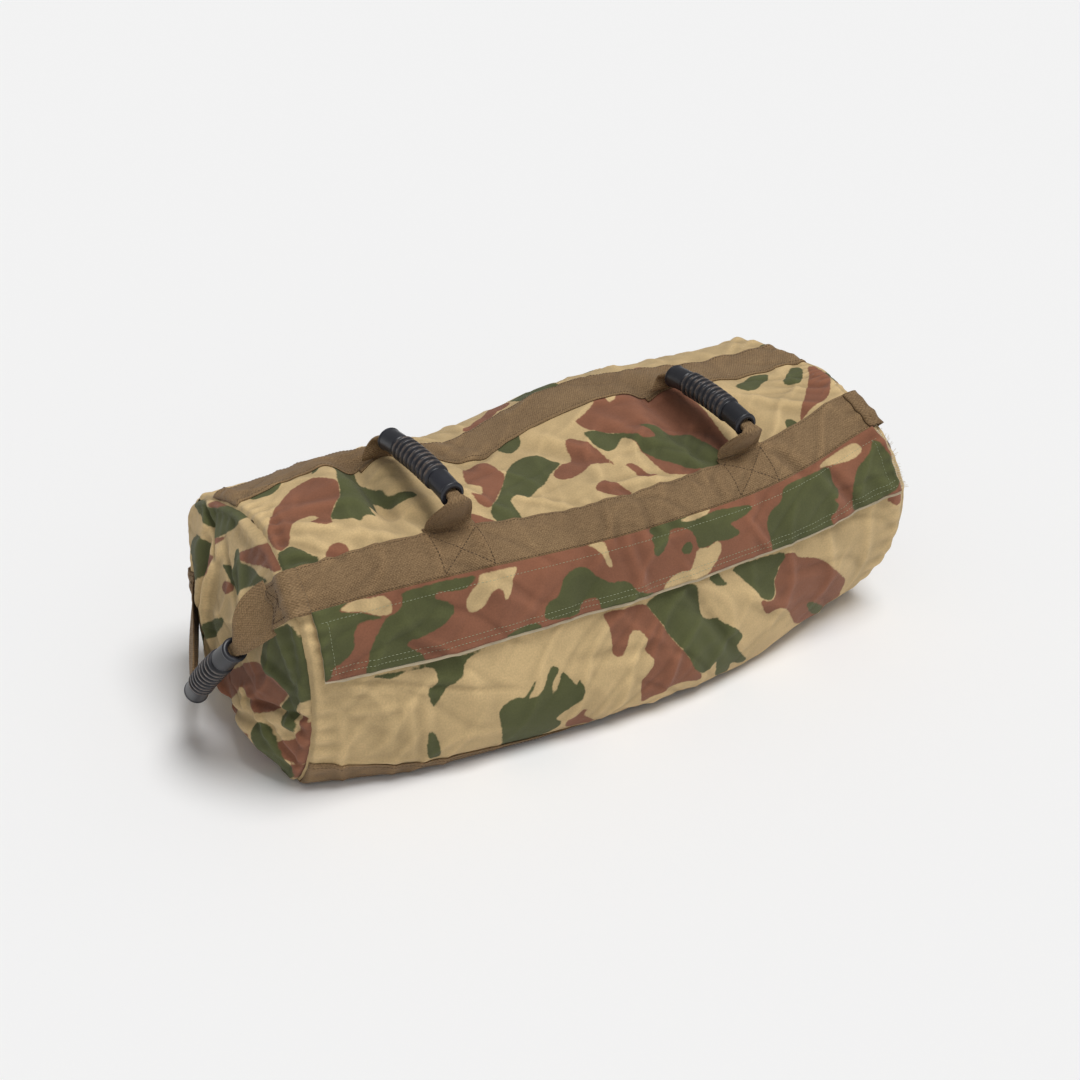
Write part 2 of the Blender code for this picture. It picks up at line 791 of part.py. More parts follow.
def build_pull(slider, level):
    """The pull tab, hung on the slider's lug and lying back along the closed chain."""
    half = pull_width / 2
    turn = np.linspace(0, math.pi, 7)
    nose = [(half * math.sin(t), half * math.cos(t)) for t in turn]
    tail = -pull_length + half
    outline_points = [*nose, (tail, -half), (tail - half / 2, -half / 2), (tail - half / 2, half / 2), (tail, half)]
    round_turn = np.linspace(0, 2 * math.pi, 9)[:-1]
    hole = [(pull_hole_radius * math.cos(t), pull_hole_radius * math.sin(t)) for t in round_turn]
    mesh = flat_solid("zip_pull", [outline_points, hole], pull_thickness)
    made = add_object("zip_pull", mesh, (0.5, 0.38, 0.16), 0.35, 1.0)
    rise = level + slider_wall / 2 + gap + pull_thickness / 2
    made.matrix_world = slider.matrix_world @ Matrix.Translation((-slider_run * 0.3, 0, rise))


def sack_rings(inset, level):
    """Rings of a sack from its closed end to its mouth: a full body, a neck and a flared mouth."""
    floor = cloth_thickness + gap + inset
    body = (
        (0.00, 0.05),
        (0.03, 0.62),
        (0.14, 0.95),
        (0.40, 1.00),
        (0.62, 0.96),
        (0.74, 0.66),
    )
    turn = np.linspace(0, 2 * math.pi, sack_sides + 1)[:-1]
    rings = []
    for along, share in body:
        power = 2 / sack_squareness
        side, rise = np.sin(turn), np.cos(turn)
        y = -share * (sack_half_depth - inset) * np.sign(side) * np.abs(side) ** power
        reach = np.where(rise >= 0, sack_height - sack_middle, sack_middle) - inset
        z = sack_middle + share * reach * np.sign(rise) * np.abs(rise) ** power
        z = np.clip(z, floor, level)
        x = (along - 0.5) * sack_run + inset * (1.3 - 4.5 * along)
        rings.append(np.column_stack([np.full(len(turn), x), y, z]))
    return rings, turn


def neck_rings(turn):
    """Rings of the gathered neck and the flared mouth above the tie."""
    shares = (0.80, 0.84, 0.90)
    radii = (sack_neck_radius, sack_neck_radius, sack_mouth_radius)
    rings = []
    for share, radius in zip(shares, radii):
        x = np.full(len(turn), (share - 0.5) * sack_run)
        y, z = -radius * np.sin(turn), sack_middle + radius * np.cos(turn)
        rings.append(np.column_stack([x, y, z]))
    return rings


def shell_of(rings, capped):
    """A mesh through rings, closed at its start and, if capped, at its end."""
    shape = bmesh.new()
    corners = [[shape.verts.new(point) for point in ring] for ring in rings]
    count = len(corners[0])
    for one, two in zip(corners, corners[1:]):
        for i in range(count):
            j = (i + 1) % count
            shape.faces.new((one[i], one[j], two[j], two[i]))
    shape.faces.new(corners[0][::-1])
    if capped:
        shape.faces.new(corners[-1])
    return shape


def build_sack(number, x):
    """A tied inner sack with its sand."""
    rings, turn = sack_rings(0, body_height)
    shape = shell_of([*rings, *neck_rings(turn)], False)
    name = f"filler_sack_{number}"
    mesh = bpy.data.meshes.new(name)
    shape.to_mesh(mesh)
    shape.free()
    made = add_object(name, mesh, (0.05, 0.05, 0.055))
    made.location.x = x
    thicken(made, sack_wall, -1)
    inner_rings, _ = sack_rings(sack_wall + 2 * gap, sand_depth_share * body_height)
    sand = shell_of(inner_rings, True)
    name = f"sand_fill_{number}"
    mesh = bpy.data.meshes.new(name)
    sand.to_mesh(mesh)
    sand.free()
    made = add_object(name, mesh, (0.55, 0.43, 0.28), 0.95)
    made.location.x = x
    name = f"neck_tie_{number}"
    bpy.ops.mesh.primitive_torus_add(
        major_radius=(sack_neck_radius + gap) / math.cos(math.pi / tie_segments) + tie_radius,
        minor_radius=tie_radius,
        major_segments=tie_segments,
        minor_segments=6,
        location=(x + 0.32 * sack_run, 0, sack_middle),
        rotation=(0, math.pi / 2, 0),
    )
    tie = bpy.context.object
    tie.name = name
    for holder in list(tie.users_collection):
        holder.objects.unlink(tie)
    parts.objects.link(tie)
    tie.data.materials.append(material_named(name, (0.6, 0.58, 0.5), 0.7))


for old in list(bpy.data.objects):
    bpy.data.objects.remove(old)
parts = collection_named("sandbag_trainer")
cutters = collection_named("cutters")

outline = outline_table()
girth = outline[0][-1]
flap_arc = top_front_arc + strap_width / 2 + flap_below_strap
zip_arc = flap_arc + zip_below_seam
sack_run = (body_length - 2 * sack_end_margin) / sack_count
sack_half_depth = body_half_depth - sack_side_margin
sack_middle = belly_height - sack_middle_drop
sack_height = body_height * (1 - slump_share / 2) - sack_top_margin
slope_step = facet_arc / 8
zip_depth = cloth_thickness + gap + tape_thickness / 2
body_arcs = ring_arcs()

build_body()
build_end_panel("left_end_panel", -1)
build_end_panel("right_end_panel", 1)
build_strap("top_front_strap", top_front_arc, True)
build_strap("top_back_strap", top_back_arc, True)
build_strap("bottom_front_strap", bottom_front_arc, False)
build_strap("bottom_back_strap", bottom_back_arc, False)
build_top_handle("left_top_handle", -handle_place)
build_top_handle("right_top_handle", handle_place)
build_end_handle("left_end_handle", -1)
build_end_handle("right_end_handle", 1)
build_flap()
build_teeth("zip_teeth_upper", 1, 0)
build_teeth("zip_teeth_lower", -1, 0.5)
build_tape("zip_tape_upper", 1)
build_tape("zip_tape_lower", -1)
build_stop("zip_stop_left", -1)
build_stop("zip_stop_right", 1)
build_slider()
for index in range(sack_count):
    build_sack(index + 1, (index - (sack_count - 1) / 2) * sack_run)
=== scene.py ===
import math
from functools import partial

import bpy
import numpy as np
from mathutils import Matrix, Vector


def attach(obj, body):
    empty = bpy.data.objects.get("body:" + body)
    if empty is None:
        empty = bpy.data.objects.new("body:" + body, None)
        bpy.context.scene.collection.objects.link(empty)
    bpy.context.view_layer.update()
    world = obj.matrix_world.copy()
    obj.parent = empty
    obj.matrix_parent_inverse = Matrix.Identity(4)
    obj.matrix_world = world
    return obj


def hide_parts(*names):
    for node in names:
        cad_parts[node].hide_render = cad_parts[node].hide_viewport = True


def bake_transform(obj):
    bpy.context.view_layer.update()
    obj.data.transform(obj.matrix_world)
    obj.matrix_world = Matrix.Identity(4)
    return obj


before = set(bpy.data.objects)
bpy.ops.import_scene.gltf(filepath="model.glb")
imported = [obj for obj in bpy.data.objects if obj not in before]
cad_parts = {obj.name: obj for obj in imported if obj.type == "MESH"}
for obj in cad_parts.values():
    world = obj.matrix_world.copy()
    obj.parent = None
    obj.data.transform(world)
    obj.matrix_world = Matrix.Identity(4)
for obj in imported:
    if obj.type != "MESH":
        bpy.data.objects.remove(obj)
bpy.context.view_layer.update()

# The photographer's place: low studio view of the bag's left end and front,
# with a longish lens, standing two metres away.
view_from, view_height, view_distance = math.radians(-31), math.radians(31), 1.98931
view_target = Vector((-0.0628, -0.0909, 0.1792))
level_part = math.cos(view_height)
towards_camera = Vector(
    (math.sin(view_from) * level_part, -math.cos(view_from) * level_part, math.sin(view_height))
)


def placed(name, data):
    """New object of a mesh, lamp or camera, linked into the scene."""
    thing = bpy.data.objects.new(name, data)
    bpy.context.scene.collection.objects.link(thing)
    return thing


camera_data = bpy.data.cameras.new("studio_camera")
camera_data.sensor_width = 36
camera_data.lens = 73.33
camera = placed("studio_camera", camera_data)
camera.location = view_target + view_distance * towards_camera
camera.rotation_euler = towards_camera.to_track_quat("Z", "Y").to_euler()
bpy.context.scene.camera = camera

# Body cloth: one long panel of printed cotton canvas sewn into a tube along the floor,
# filled with sand sacks, so that it settles, sags between the handles and spreads where it lies.
body_length, body_half_depth, body_height = 0.600, 0.147, 0.220
belly_height, floor_press, squareness, slump = 0.105, 0.025, 3.2, 0.08


def squared(value, power):
    """The value raised to a power with its sign kept, which squares or rounds a circle."""
    return np.sign(value) * np.abs(value) ** power


def bag_outline():
    """Rounded section |y/a|^n + |z/b|^n = 1 about the belly, cut flat at the floor; arc length
    runs from the top middle, forwards and down, and comes back with y and z, in metres."""
    turn = np.linspace(0, 2 * np.pi, 6001)
    y = -body_half_depth * squared(np.sin(turn), 2 / squareness)
    reach = np.where(np.cos(turn) >= 0, body_height - belly_height, belly_height + floor_press)
    z = np.maximum(belly_height + reach * squared(np.cos(turn), 2 / squareness), 0)
    arc = np.concatenate([[0], np.cumsum(np.hypot(np.diff(y), np.diff(z)))])
    return arc, y, z


outline_arc, outline_y, outline_z = bag_outline()
girth = outline_arc[-1]

# How far the sand has pushed or let sink each region, in millimetres: nine places along
# the bag by sixteen round it, from the top middle forwards.
settle_x = [
    [0, -7, -20, -18, -11, -12, -17, -13, -6, -1, 0, 0, -3, -7, -9, -4],
    [-4, -4, -8, -8, -7, -12, -12, -7, -3, -1, 0, 0, -1, -3, -5, -6],
    [-1, -1, -1, -1, -2, -3, -3, -1, 0, 0, 0, 0, 0, 0, 0, -1],
    [0, -1, 0, 0, 0, 0, 0, 0, 0, 0, 0, 0, 0, 1, 3, 3],
    [-1, 0, 0, 0, 0, 0, 0, 0, 0, 0, 0, 0, 0, 0, 1, 1],
    [0, 0, 0, 0, -1, 0, 0, 0, 0, 0, 0, 0, 0, 0, -1, 0],
    [4, 1, 1, 1, 1, 1, 1, 0, 0, 0, 0, 0, 0, 0, 0, 3],
    [11, 2, -1, 6, 13, 9, 1, -2, -2, -1, -1, -1, 0, 1, 5, 11],
    [18, 0, -7, 13, 34, 23, 3, -4, -4, -3, -2, -1, 0, 3, 10, 21],
]
settle_y = [
    [0, 3, 12, 21, 24, 35, 38, 25, 11, 3, 0, -1, -1, -1, -3, -3],
    [12, 8, 11, 15, 9, 0, 2, 5, 3, 1, 0, -1, -2, -4, -5, 5],
    [7, 4, 6, 10, 2, -12, -14, -11, -5, -1, 0, 0, -2, -5, -6, 3],
    [-7, -3, 2, 7, -3, -20, -32, -23, -12, -3, 0, 1, -1, -5, -11, -12],
    [-5, -8, -2, 6, -5, -25, -42, -30, -15, -4, 1, 2, 2, 0, -4, -4],
    [-3, -9, -3, 6, -2, -23, -41, -29, -14, -4, 1, 3, 5, 6, 6, 3],
    [-5, -7, -2, 5, 1, -13, -24, -17, -8, -2, 1, 4, 7, 9, 4, -3],
    [-10, 1, 9, 8, 3, 5, 9, 5, 2, 1, 2, 4, 8, 9, -2, -17],
    [-12, 12, 30, 21, 5, 19, 41, 29, 14, 5, 2, 4, 8, 8, -3, -21],
]
settle_z = [
    [-1, -2, 2, 11, 11, 11, 0, 0, 0, 0, 0, -1, -3, -7, -13, -11],
    [18, 6, 5, 11, 4, -11, -1, 0, 0, 0, 0, -1, -3, -8, -12, 3],
    [12, 0, 2, 11, 7, -2, 3, 0, 0, 0, 0, -1, -3, -5, -4, 9],
    [-11, -11, -3, 10, 9, 6, 8, 0, 0, 0, 0, 0, -1, -2, -7, -12],
    [-6, -14, -7, 9, 9, 8, 11, 1, 0, 0, 0, 1, 3, 4, 2, 0],
    [3, -10, -4, 11, 11, 8, 8, 0, 0, 0, 0, 2, 7, 13, 15, 12],
    [9, -1, 1, 11, 13, 7, 2, 0, 0, 0, 0, 4, 10, 16, 13, 11],
    [5, 9, 13, 21, 21, 12, 1, 0, 0, 0, 0, 5, 12, 18, 9, -6],
    [11, 19, 30, 42, 37, 19, 2, 0, 0, 0, 0, 5, 13, 18, 14, 4],
]
settling = np.array([settle_x, settle_y, settle_z]) / 1000


def bell(u):
    """Cubic spline bell: 2/3 - u^2 + u^3/2 within one step, (2 - u)^3/6 within two, then zero."""
    u = np.abs(u)
    return np.where(u < 1, 2 / 3 - u**2 + u**3 / 2, np.where(u < 2, (2 - u) ** 3 / 6, 0))


def settled(x, arc):
    """Outline point at (x, arc), its height falling slightly to the right, plus the settling,
    blended between its places by spline bells."""
    x, arc = np.broadcast_arrays(np.asarray(x, float), np.asarray(arc, float))
    along = bell(x.ravel()[:, None] / (body_length / 8) + 4 - np.arange(9))
    along /= along.sum(1, keepdims=True)
    around = bell(np.mod(arc.ravel()[:, None] / (girth / 16) - np.arange(16) + 8, 16) - 8)
    offset = np.einsum("pi,kij,pj->pk", along, settling, around)
    at = np.mod(arc.ravel(), girth)
    y, z = np.interp(at, outline_arc, outline_y), np.interp(at, outline_arc, outline_z)
    point = np.stack([x.ravel(), y, z * (1 - slump * x.ravel() / body_length)], 1) + offset
    return point.reshape(*x.shape, 3)


def outward(x, arc):
    """Unit normal of the settled cloth: the cross product of its steps round and along."""
    step = 0.002
    around = settled(x, arc + step) - settled(x, arc - step)
    along = settled(x + step, arc) - settled(x - step, arc)
    normal = np.cross(around, along)
    return normal / np.linalg.norm(normal, axis=-1, keepdims=True)


# Folds of the body cloth, in millimetres: from (x, arc) to (x, arc), half width, height.
# Heights below zero are valleys. Each has softer opposite folds beside it.
body_folds = [
    (-101, -57, -84, -4, 9, -2.5), (-88, -4, -43, -31, 8, -2), (-284, 214, -221, 227, 3, -1.3),
    (-221, 228, -126, 257, 3, -1.3), (-228, 236, -227, 302, 3, -0.7), (-289, 228, -228, 237, 3, -0.7),
    (-203, 236, -200, 304, 5, 1), (-283, 9, -293, 71, 6, -2), (-296, 81, -266, 91, 7, -2),
    (-4, 102, -13, 146, 4, 1.3), (33, 108, 29, 149, 5, -1.1), (91, 101, 91, 138, 4, 1.1),
    (109, 100, 109, 139, 4, -1.3), (186, 110, 199, 148, 8, -3), (222, 153, 246, 211, 8, -3),
    (129, 166, 151, 207, 4, 1.2), (-1, 154, 13, 213, 7, 1.6), (-10, 34, 15, 153, 20, 1.6),
    (-121, 90, -135, 211, 20, 1.6), (-187, 42, -169, 82, 8, -1.6), (47, 13, 51, 115, 14, 1.6),
    (-36, 79, -54, 234, 16, -1.3), (145, 32, 147, 94, 12, -2), (202, 10, 216, 115, 14, 1.3),
    (268, 181, 291, 228, 8, 1.6), (187, 192, 270, 323, 16, 1.6), (50, 226, 69, 316, 14, 1.3),
    (-162, 204, -156, 306, 16, 1.1), (250, -200, 120, -320, 14, 2.2), (-240, -190, -120, -330, 16, 2),
    (40, -180, -60, -300, 18, -1.8), (-80, -140, 60, -160, 12, -2), (180, -150, 60, -230, 10, 1.6),
    (-270, -110, -230, -250, 9, -2), (280, -120, 240, -260, 9, -2), (-40, -330, 120, -350, 14, 1.5),
    (-276, 248, -272, 300, 4, 1.3), (-218, 246, -214, 300, 4, 1.3), (-274, 248, -218, 246, 4, 1.2),
    (-272, 302, -214, 302, 4, 1.2), (-246, 262, -244, 292, 12, -1.2), (-293, 30, -240, 60, 7, 2.4),
    (-290, 52, -252, 96, 6, -2.2), (-262, 20, -214, 36, 8, 1.8), (-240, 70, -196, 92, 8, 2.0),
    (-120, 20, -92, 84, 9, 2.2), (-20, -20, 30, 40, 12, -2.4), (64, -20, 100, 60, 12, 2.4),
    (110, 0, 120, 90, 8, -2.2), (206, 20, 250, 84, 9, 2.4), (244, 8, 288, 60, 8, -2.4),
    (-190, 40, -130, 20, 10, -1.8), (10, 70, 80, 90, 8, 2.0), (-70, 60, -30, 92, 7, 2.0),
    (-181, -50, -187, 68, 19, -13.0), (127, -50, 125, 50, 17, -7.4), (175, -50, 181, 62, 15, -7.8),
    (120, 240, 180, 280, 10, 2.0), (-60, 250, 20, 262, 8, -1.6), (60, 214, 110, 300, 9, -2.0),
]


def fold_relief(x, arc, folds):
    """Sum of folds: each is h (1 - 0.9 q^2) exp(-q^2), q the distance across over the half
    width, fading along its length by a smooth step at both ends."""
    x, arc = np.broadcast_arrays(np.asarray(x, float), np.asarray(arc, float))
    relief = np.zeros(x.shape)
    for x1, s1, x2, s2, width, height in np.array(folds, float) / 1000:
        run = np.array([x2 - x1, s2 - s1])
        long = np.hypot(*run)
        run /= long
        dx = x - x1
        ds = np.mod(arc - s1 + girth / 2, girth) - girth / 2
        t = (dx * run[0] + ds * run[1]) / long
        q = (ds * run[0] - dx * run[1]) / width
        near = (t > -0.35) & (t < 1.35) & (np.abs(q) < 4)
        t, q = t[near], q[near]
        fade = np.clip((t + 0.3) / 0.6, 0, 1) * np.clip((1.3 - t) / 0.6, 0, 1)
        fade = fade * fade * (3 - 2 * fade)
        relief[near] += 1.35 * height * fade * (1 - 0.9 * q * q) * np.exp(-q * q)
    return relief


def seam_pull(x, arc):
    """Near the end seams the cloth turns in by an eased quarter round and puckers in small
    ripples that die away within three centimetres."""
    from_seam = body_length / 2 - np.abs(x)
    turn_in = -0.0048 * np.clip(1 - from_seam / 0.007, 0, 1) ** 2
    ripple = np.sin(arc * 2 * np.pi / 0.0151 + 2.1 * np.sin(arc * 31))
    ripple = ripple * (0.6 + 0.4 * np.sin(arc * 47 + 1))
    return turn_in + 0.0011 * ripple * np.exp(-((from_seam - 0.010) / 0.015) ** 2)


def crumple(x, arc):
    """Small creases: sharp waves (1 - |sin|)^3 in five directions, each wandering sideways and
    fading in and out over the cloth, none at the bottom where it lies flat."""
    x, arc = np.broadcast_arrays(np.asarray(x, float), np.asarray(arc, float))
    arc = np.mod(arc + girth / 2, girth) - girth / 2
    relief = np.zeros(x.shape)
    for turn, pitch, height, seed in (
        (0.35, 0.047, 2.4, 0.4), (1.25, 0.061, 2.2, 2.1), (2.2, 0.039, -1.7, 4.4),
        (2.85, 0.075, 2.4, 1.2), (0.9, 0.03, -1.1, 5.3),
    ):
        u = x * math.cos(turn) + arc * math.sin(turn)
        w = arc * math.cos(turn) - x * math.sin(turn)
        wander = 0.9 * np.sin(w / 0.043 + seed) + 0.5 * np.sin(w / 0.019 + 3 * seed)
        wave = np.sin(u * np.pi / pitch + wander)
        shown = np.clip(0.35 + np.sin(w / 0.037 + seed * 1.7) * np.sin(u / 0.071 + seed), 0, 1)
        relief += height * 0.001 * (1 - np.abs(wave)) ** 3 * shown
    return relief * np.clip((girth / 2 - np.abs(arc)) / 0.1, 0, 1)


def strap_puckers(x, arc):
    """Ripples across the straps' edges, where the seams gather the cloth a little."""
    relief = np.zeros(np.broadcast(x, arc).shape)
    for middle_arc, pitch, seed in ((0.120, 0.021, 0.3), (-0.060, 0.026, 1.9), (-0.250, 0.023, 3.1)):
        away = np.abs(np.mod(arc - middle_arc + girth / 2, girth) - girth / 2) - 0.025
        ripple = np.sin(x * 2 * np.pi / pitch + 2.3 * np.sin(x * 31 + seed))
        ripple = ripple * (0.5 + 0.5 * np.sin(x * 17 + 2 * seed))
        relief = relief + 0.0010 * ripple * np.exp(-((away - 0.004) / 0.013) ** 2)
    return relief


def cloth_relief(x, arc):
    """Height of all folds, puckers and creases of the body cloth at (x, arc)."""
    return fold_relief(x, arc, body_folds) + seam_pull(x, arc) + crumple(x, arc) + strap_puckers(x, arc)


def crease_of(relief_at, x, arc):
    """How far a place stands above or below the cloth 8 mm away from it on four sides."""
    reach = 0.008
    around = relief_at(x + reach, arc) + relief_at(x - reach, arc)
    around = around + relief_at(x, arc + reach) + relief_at(x, arc - reach)
    return relief_at(x, arc) - around / 4


def cloth(x, arc, lift=0.0):
    """Point of the body cloth, or lift above it: settled point + normal x (folds + lift)."""
    point = settled(x, arc) + outward(x, arc) * (cloth_relief(x, arc) + lift)[..., None]
    point[..., 2] = np.maximum(point[..., 2], 0.0006 + np.maximum(lift, 0))
    return point


def patches_of(drawn):
    """Patches of the print, written as the name of an ink and its corners in millimetres, as
    pairs of an ink and an array of corners."""
    patches = []
    for word in drawn.split():
        if "," in word:
            patches[-1][1].append([float(part) for part in word.split(",")])
        else:
            patches.append((word, []))
    return [(ink, np.array(corners)) for ink, corners in patches]


# The print: patches of green, brown and sand ink, as (x, arc) corners in millimetres.
body_print = patches_of("""
brown -298,34 -291,23 -285,12 -277,3 -267,-4 -257,-11 -245,-17 -234,-18 -225,-16 -220,-6 -214,3 -216,14
-223,29 -231,34 -237,41 -241,48 -241,54 -247,56 -254,52 -258,44 -258,41 -252,42 -249,41 -253,35 -259,34
-266,34 -274,39 -280,47 -283,57 -289,63 -294,65 -297,60 -299,51
green -224,-29 -219,-30 -213,-34 -205,-42 -199,-43 -201,-27 -206,-12 -213,2 -216,14 -222,27 -230,34 -237,41
-241,48 -234,52 -226,57 -221,62 -218,63 -215,58 -208,57 -202,61 -204,52 -202,42 -197,47 -192,47 -190,38
-189,31 -188,24 -183,28 -180,35 -176,42 -169,45 -159,47 -158,38 -164,32 -172,29 -175,24 -174,15 -178,7
-182,-4 -184,-17 -179,-41 -170,-78 -181,-74 -191,-70 -202,-58 -215,-43
green -284,-38 -275,-41 -267,-43 -259,-41 -249,-35 -261,-27 -271,-24 -277,-28 -284,-31
brown -261,91 -257,83 -251,79 -246,79 -242,83 -240,91 -245,105 -263,100
green -298,66 -293,64 -288,64 -283,62 -279,69 -275,77 -270,84 -266,89 -271,99 -286,102 -296,100 -299,86
brown -90,-6 -81,-9 -70,-13 -65,-7 -61,3 -62,13 -60,20 -68,33 -81,48 -93,63 -102,74 -108,69 -110,60 -110,47
-107,51 -103,54 -95,44 -90,33 -96,30 -101,26 -100,16
brown -131,76 -124,77 -119,82 -114,88 -106,93 -111,108 -142,103
green -60,20 -51,9 -42,1 -31,-3 -22,-1 -13,3 -10,11 -8,17 -2,22 -9,28 -18,32 -27,41 -37,49 -46,55 -54,60
-62,69 -63,61 -66,56 -74,60 -79,66 -80,77 -81,89 -82,102 -90,110 -100,102 -107,92 -106,80 -100,71 -87,57
-74,40
green -41,-32 -31,-36 -22,-38 -12,-43 -15,-31 -21,-22 -29,-16 -36,-14 -41,-19 -43,-27
brown 22,-6 29,0 35,8 37,16 38,26 39,36 41,51 37,42 30,39 23,37 14,41 4,46 -6,49 -14,49 -20,44 -20,37 -12,30
-3,25 4,25 10,22 14,13 13,6
brown 1,78 8,69 17,65 23,69 27,76 31,85 34,90 27,101 17,93 8,85
brown 42,-23 53,-25 67,-32 83,-46 92,-51 85,-34 89,-30 100,-38 109,-51 117,-68 142,-87 168,-96 166,-51 159,0
155,45 153,84 144,98 120,95 106,96 91,93 80,85 75,75 74,63 74,50 74,38 74,26 70,12 61,6 53,0 47,-7 43,-15
green 40,-6 48,-4 56,0 62,7 71,13 78,20 83,29 90,34 97,31 96,22 93,13 92,6 97,12 105,19 111,27 120,29 130,34
133,51 136,69 139,82 136,90 127,94 115,95 107,93 100,86 94,77 88,68 82,61 77,51 75,44 75,34 74,26 71,19 66,18
59,25 51,30 45,30 41,24 39,15 39,5
brown 47,53 55,53 58,60 59,69 62,78 68,87 57,83 51,76 50,68 49,59
green 211,-17 220,-22 232,-32 242,-31 253,-29 244,-13 236,-9 225,4 216,6 212,0 209,-8
green 250,7 263,-9 275,-26 281,-26 285,-18 276,3 266,26 257,19
green 216,83 223,83 227,89 227,96 221,100 214,98 213,92
brown 290,-20 300,-18 303,0 299,38 288,70 277,84 266,88 254,88 242,90 230,96 239,83 253,68 268,41 280,13
green 289,-91 299,-89 302,-78 299,-63 288,-53 279,-40 269,-36 271,-51 277,-67 279,-77
green 23,-119 36,-118 50,-117 64,-116 77,-115 69,-96 69,-85 55,-82 44,-87 30,-88 23,-93 21,-114
brown -53,-84 -35,-94 -18,-102 5,-119 18,-119 20,-104 7,-96 -8,-93 -27,-81 -41,-71 -51,-77
green -117,-99 -112,-89 -111,-68 -128,-28 -135,-28 -137,-37 -135,-56
green -249,216 -241,216 -224,217 -198,214 -172,215 -149,215 -148,217 -158,217 -167,220 -170,227 -171,233
-175,235 -180,238 -185,239 -189,243 -194,250 -197,254 -200,247 -202,239 -201,235 -196,236 -193,232 -193,226
-195,221 -200,218 -209,218 -217,217 -224,219 -231,222 -239,220 -245,218
green -200,306 -203,291 -203,279 -202,272 -198,274 -194,282 -191,295 -189,312
green -131,333 -136,304 -139,286 -141,275 -137,270 -130,267 -123,266 -116,269 -111,263 -107,258 -104,255
-106,261 -109,266 -114,271 -108,271 -101,269 -97,264 -94,257 -91,250 -87,248 -81,252 -84,257 -89,263 -90,270
-89,275 -84,269 -81,262 -79,255 -75,260 -70,267 -66,274 -63,267 -60,274 -58,281 -61,290 -71,295 -80,299
-87,304 -77,314 -85,326 -91,333 -113,332
brown -76,311 -66,311 -59,302 -54,305 -59,312 -38,333 -50,333 -70,333
brown -33,215 -13,216 14,218 20,229 27,240 34,254 43,267 53,280 63,298 71,309 71,319 56,313 41,311 26,316
14,318 5,326 1,302 1,290 10,283 16,276 14,269 7,263 10,258 10,250 5,242 -3,238 -8,243 -10,251 -13,258 -19,261
-25,257 -26,249 -26,238 -28,228
green 13,219 22,216 35,213 53,214 68,215 73,224 74,234 74,245 76,252 84,256 92,256 96,262 102,266 110,272
117,279 120,286 115,289 114,296 121,306 135,324 126,325 107,311 111,327 108,333 94,331 89,310 87,299 83,302
80,309 71,309 60,298 53,280 45,269 34,254 27,240 20,229
green 84,215 90,214 97,214 100,221 107,229 102,229 93,226 88,221
green 111,215 127,214 149,216 171,219 170,228 164,232 162,239 158,243 159,252 157,258 151,260 141,254 138,248
131,239 125,232 118,224
brown 170,220 182,225 184,231 194,236 205,241 215,249 222,257 232,268 243,279 250,287 251,298 259,314 255,321
241,321 220,320 195,310 183,292 175,280 167,273 159,272 155,274 150,275 143,264 139,254 151,261 158,259
160,252 158,243 163,237 166,229
green 201,287 213,291 237,312 245,321 233,321 212,304
brown 278,218 287,214 295,213 296,225 290,229 283,222
""")
flap_print = patches_of("""
green -304,142 -281,140 -260,139 -255,142 -265,147 -268,150 -259,153 -250,156 -242,160 -233,164 -242,164
-251,163 -257,166 -261,175 -261,183 -265,189 -275,195 -283,198 -285,209 -300,209 -304,174
green -233,165 -226,163 -220,161 -216,154 -215,147 -199,147 -181,146 -164,147 -148,148 -155,154 -163,158
-177,156 -187,154 -190,159 -182,163 -175,168 -174,173 -179,178 -186,183 -196,186 -206,188 -216,189 -218,193
-213,198 -207,202 -204,208 -204,213 -225,211 -256,214 -252,201 -249,191 -245,182 -240,175
sand -267,149 -263,146 -255,144 -247,144 -239,146 -231,145 -227,149 -225,154 -226,161 -229,163 -236,162
-243,159 -250,154 -258,153
green -94,204 -92,194 -87,188 -78,186 -74,180 -72,173 -67,168 -60,164 -50,163 -43,167 -39,174 -31,181 -23,187
-13,187 -3,192 -1,198 7,205 23,209 16,215 -7,211 -37,210 -36,202 -39,197 -46,196 -52,197 -56,201 -59,209
green -131,210 -128,206 -117,204 -103,203 -97,206 -98,212 -117,212
green 24,156 30,152 39,150 49,150 43,157 39,165 34,172 27,175 23,169 26,162
green 54,174 59,170 65,169 67,178 62,183 55,180
green 24,146 41,141 61,139 80,149 96,147 111,149 130,152 137,156 131,160 119,164 108,164 115,172 120,178
113,181 102,181 93,178 86,181 77,181 72,179 71,169 67,159 57,152 44,153 31,155
sand 58,146 69,144 80,143 94,143 89,148 80,150 69,150 62,148
green 153,211 152,201 151,192 148,180 151,172 156,166 165,164 170,158 173,151 185,149 201,151 215,152 227,153
228,162 227,173 231,183 226,186 221,186 227,194 221,198 215,201 217,209 215,217 184,214
green 240,209 242,198 243,188 247,178 254,170 263,167 273,162 280,154 285,162 289,178 291,192 289,203 279,208
265,210 252,212
sand 216,151 223,147 233,147 243,147 255,147 264,149 268,153 266,159 258,161 248,160 237,157 227,153
sand -147,148 -132,148 -110,148 -113,153 -118,158 -120,165 -124,171 -129,176 -130,170 -131,164 -136,163
-141,165 -145,172 -150,177 -155,179 -161,179 -164,174 -163,167 -158,161 -151,156 -148,152
sand -38,143 -30,143 -22,144 -21,152 -21,160 -19,168 -21,173 -24,170 -26,163 -29,154 -33,149
sand 29,211 34,204 41,199 52,197 61,199 66,193 71,180 77,181 85,182 92,178 97,181 98,189 94,196 87,203 82,209
62,211
""")


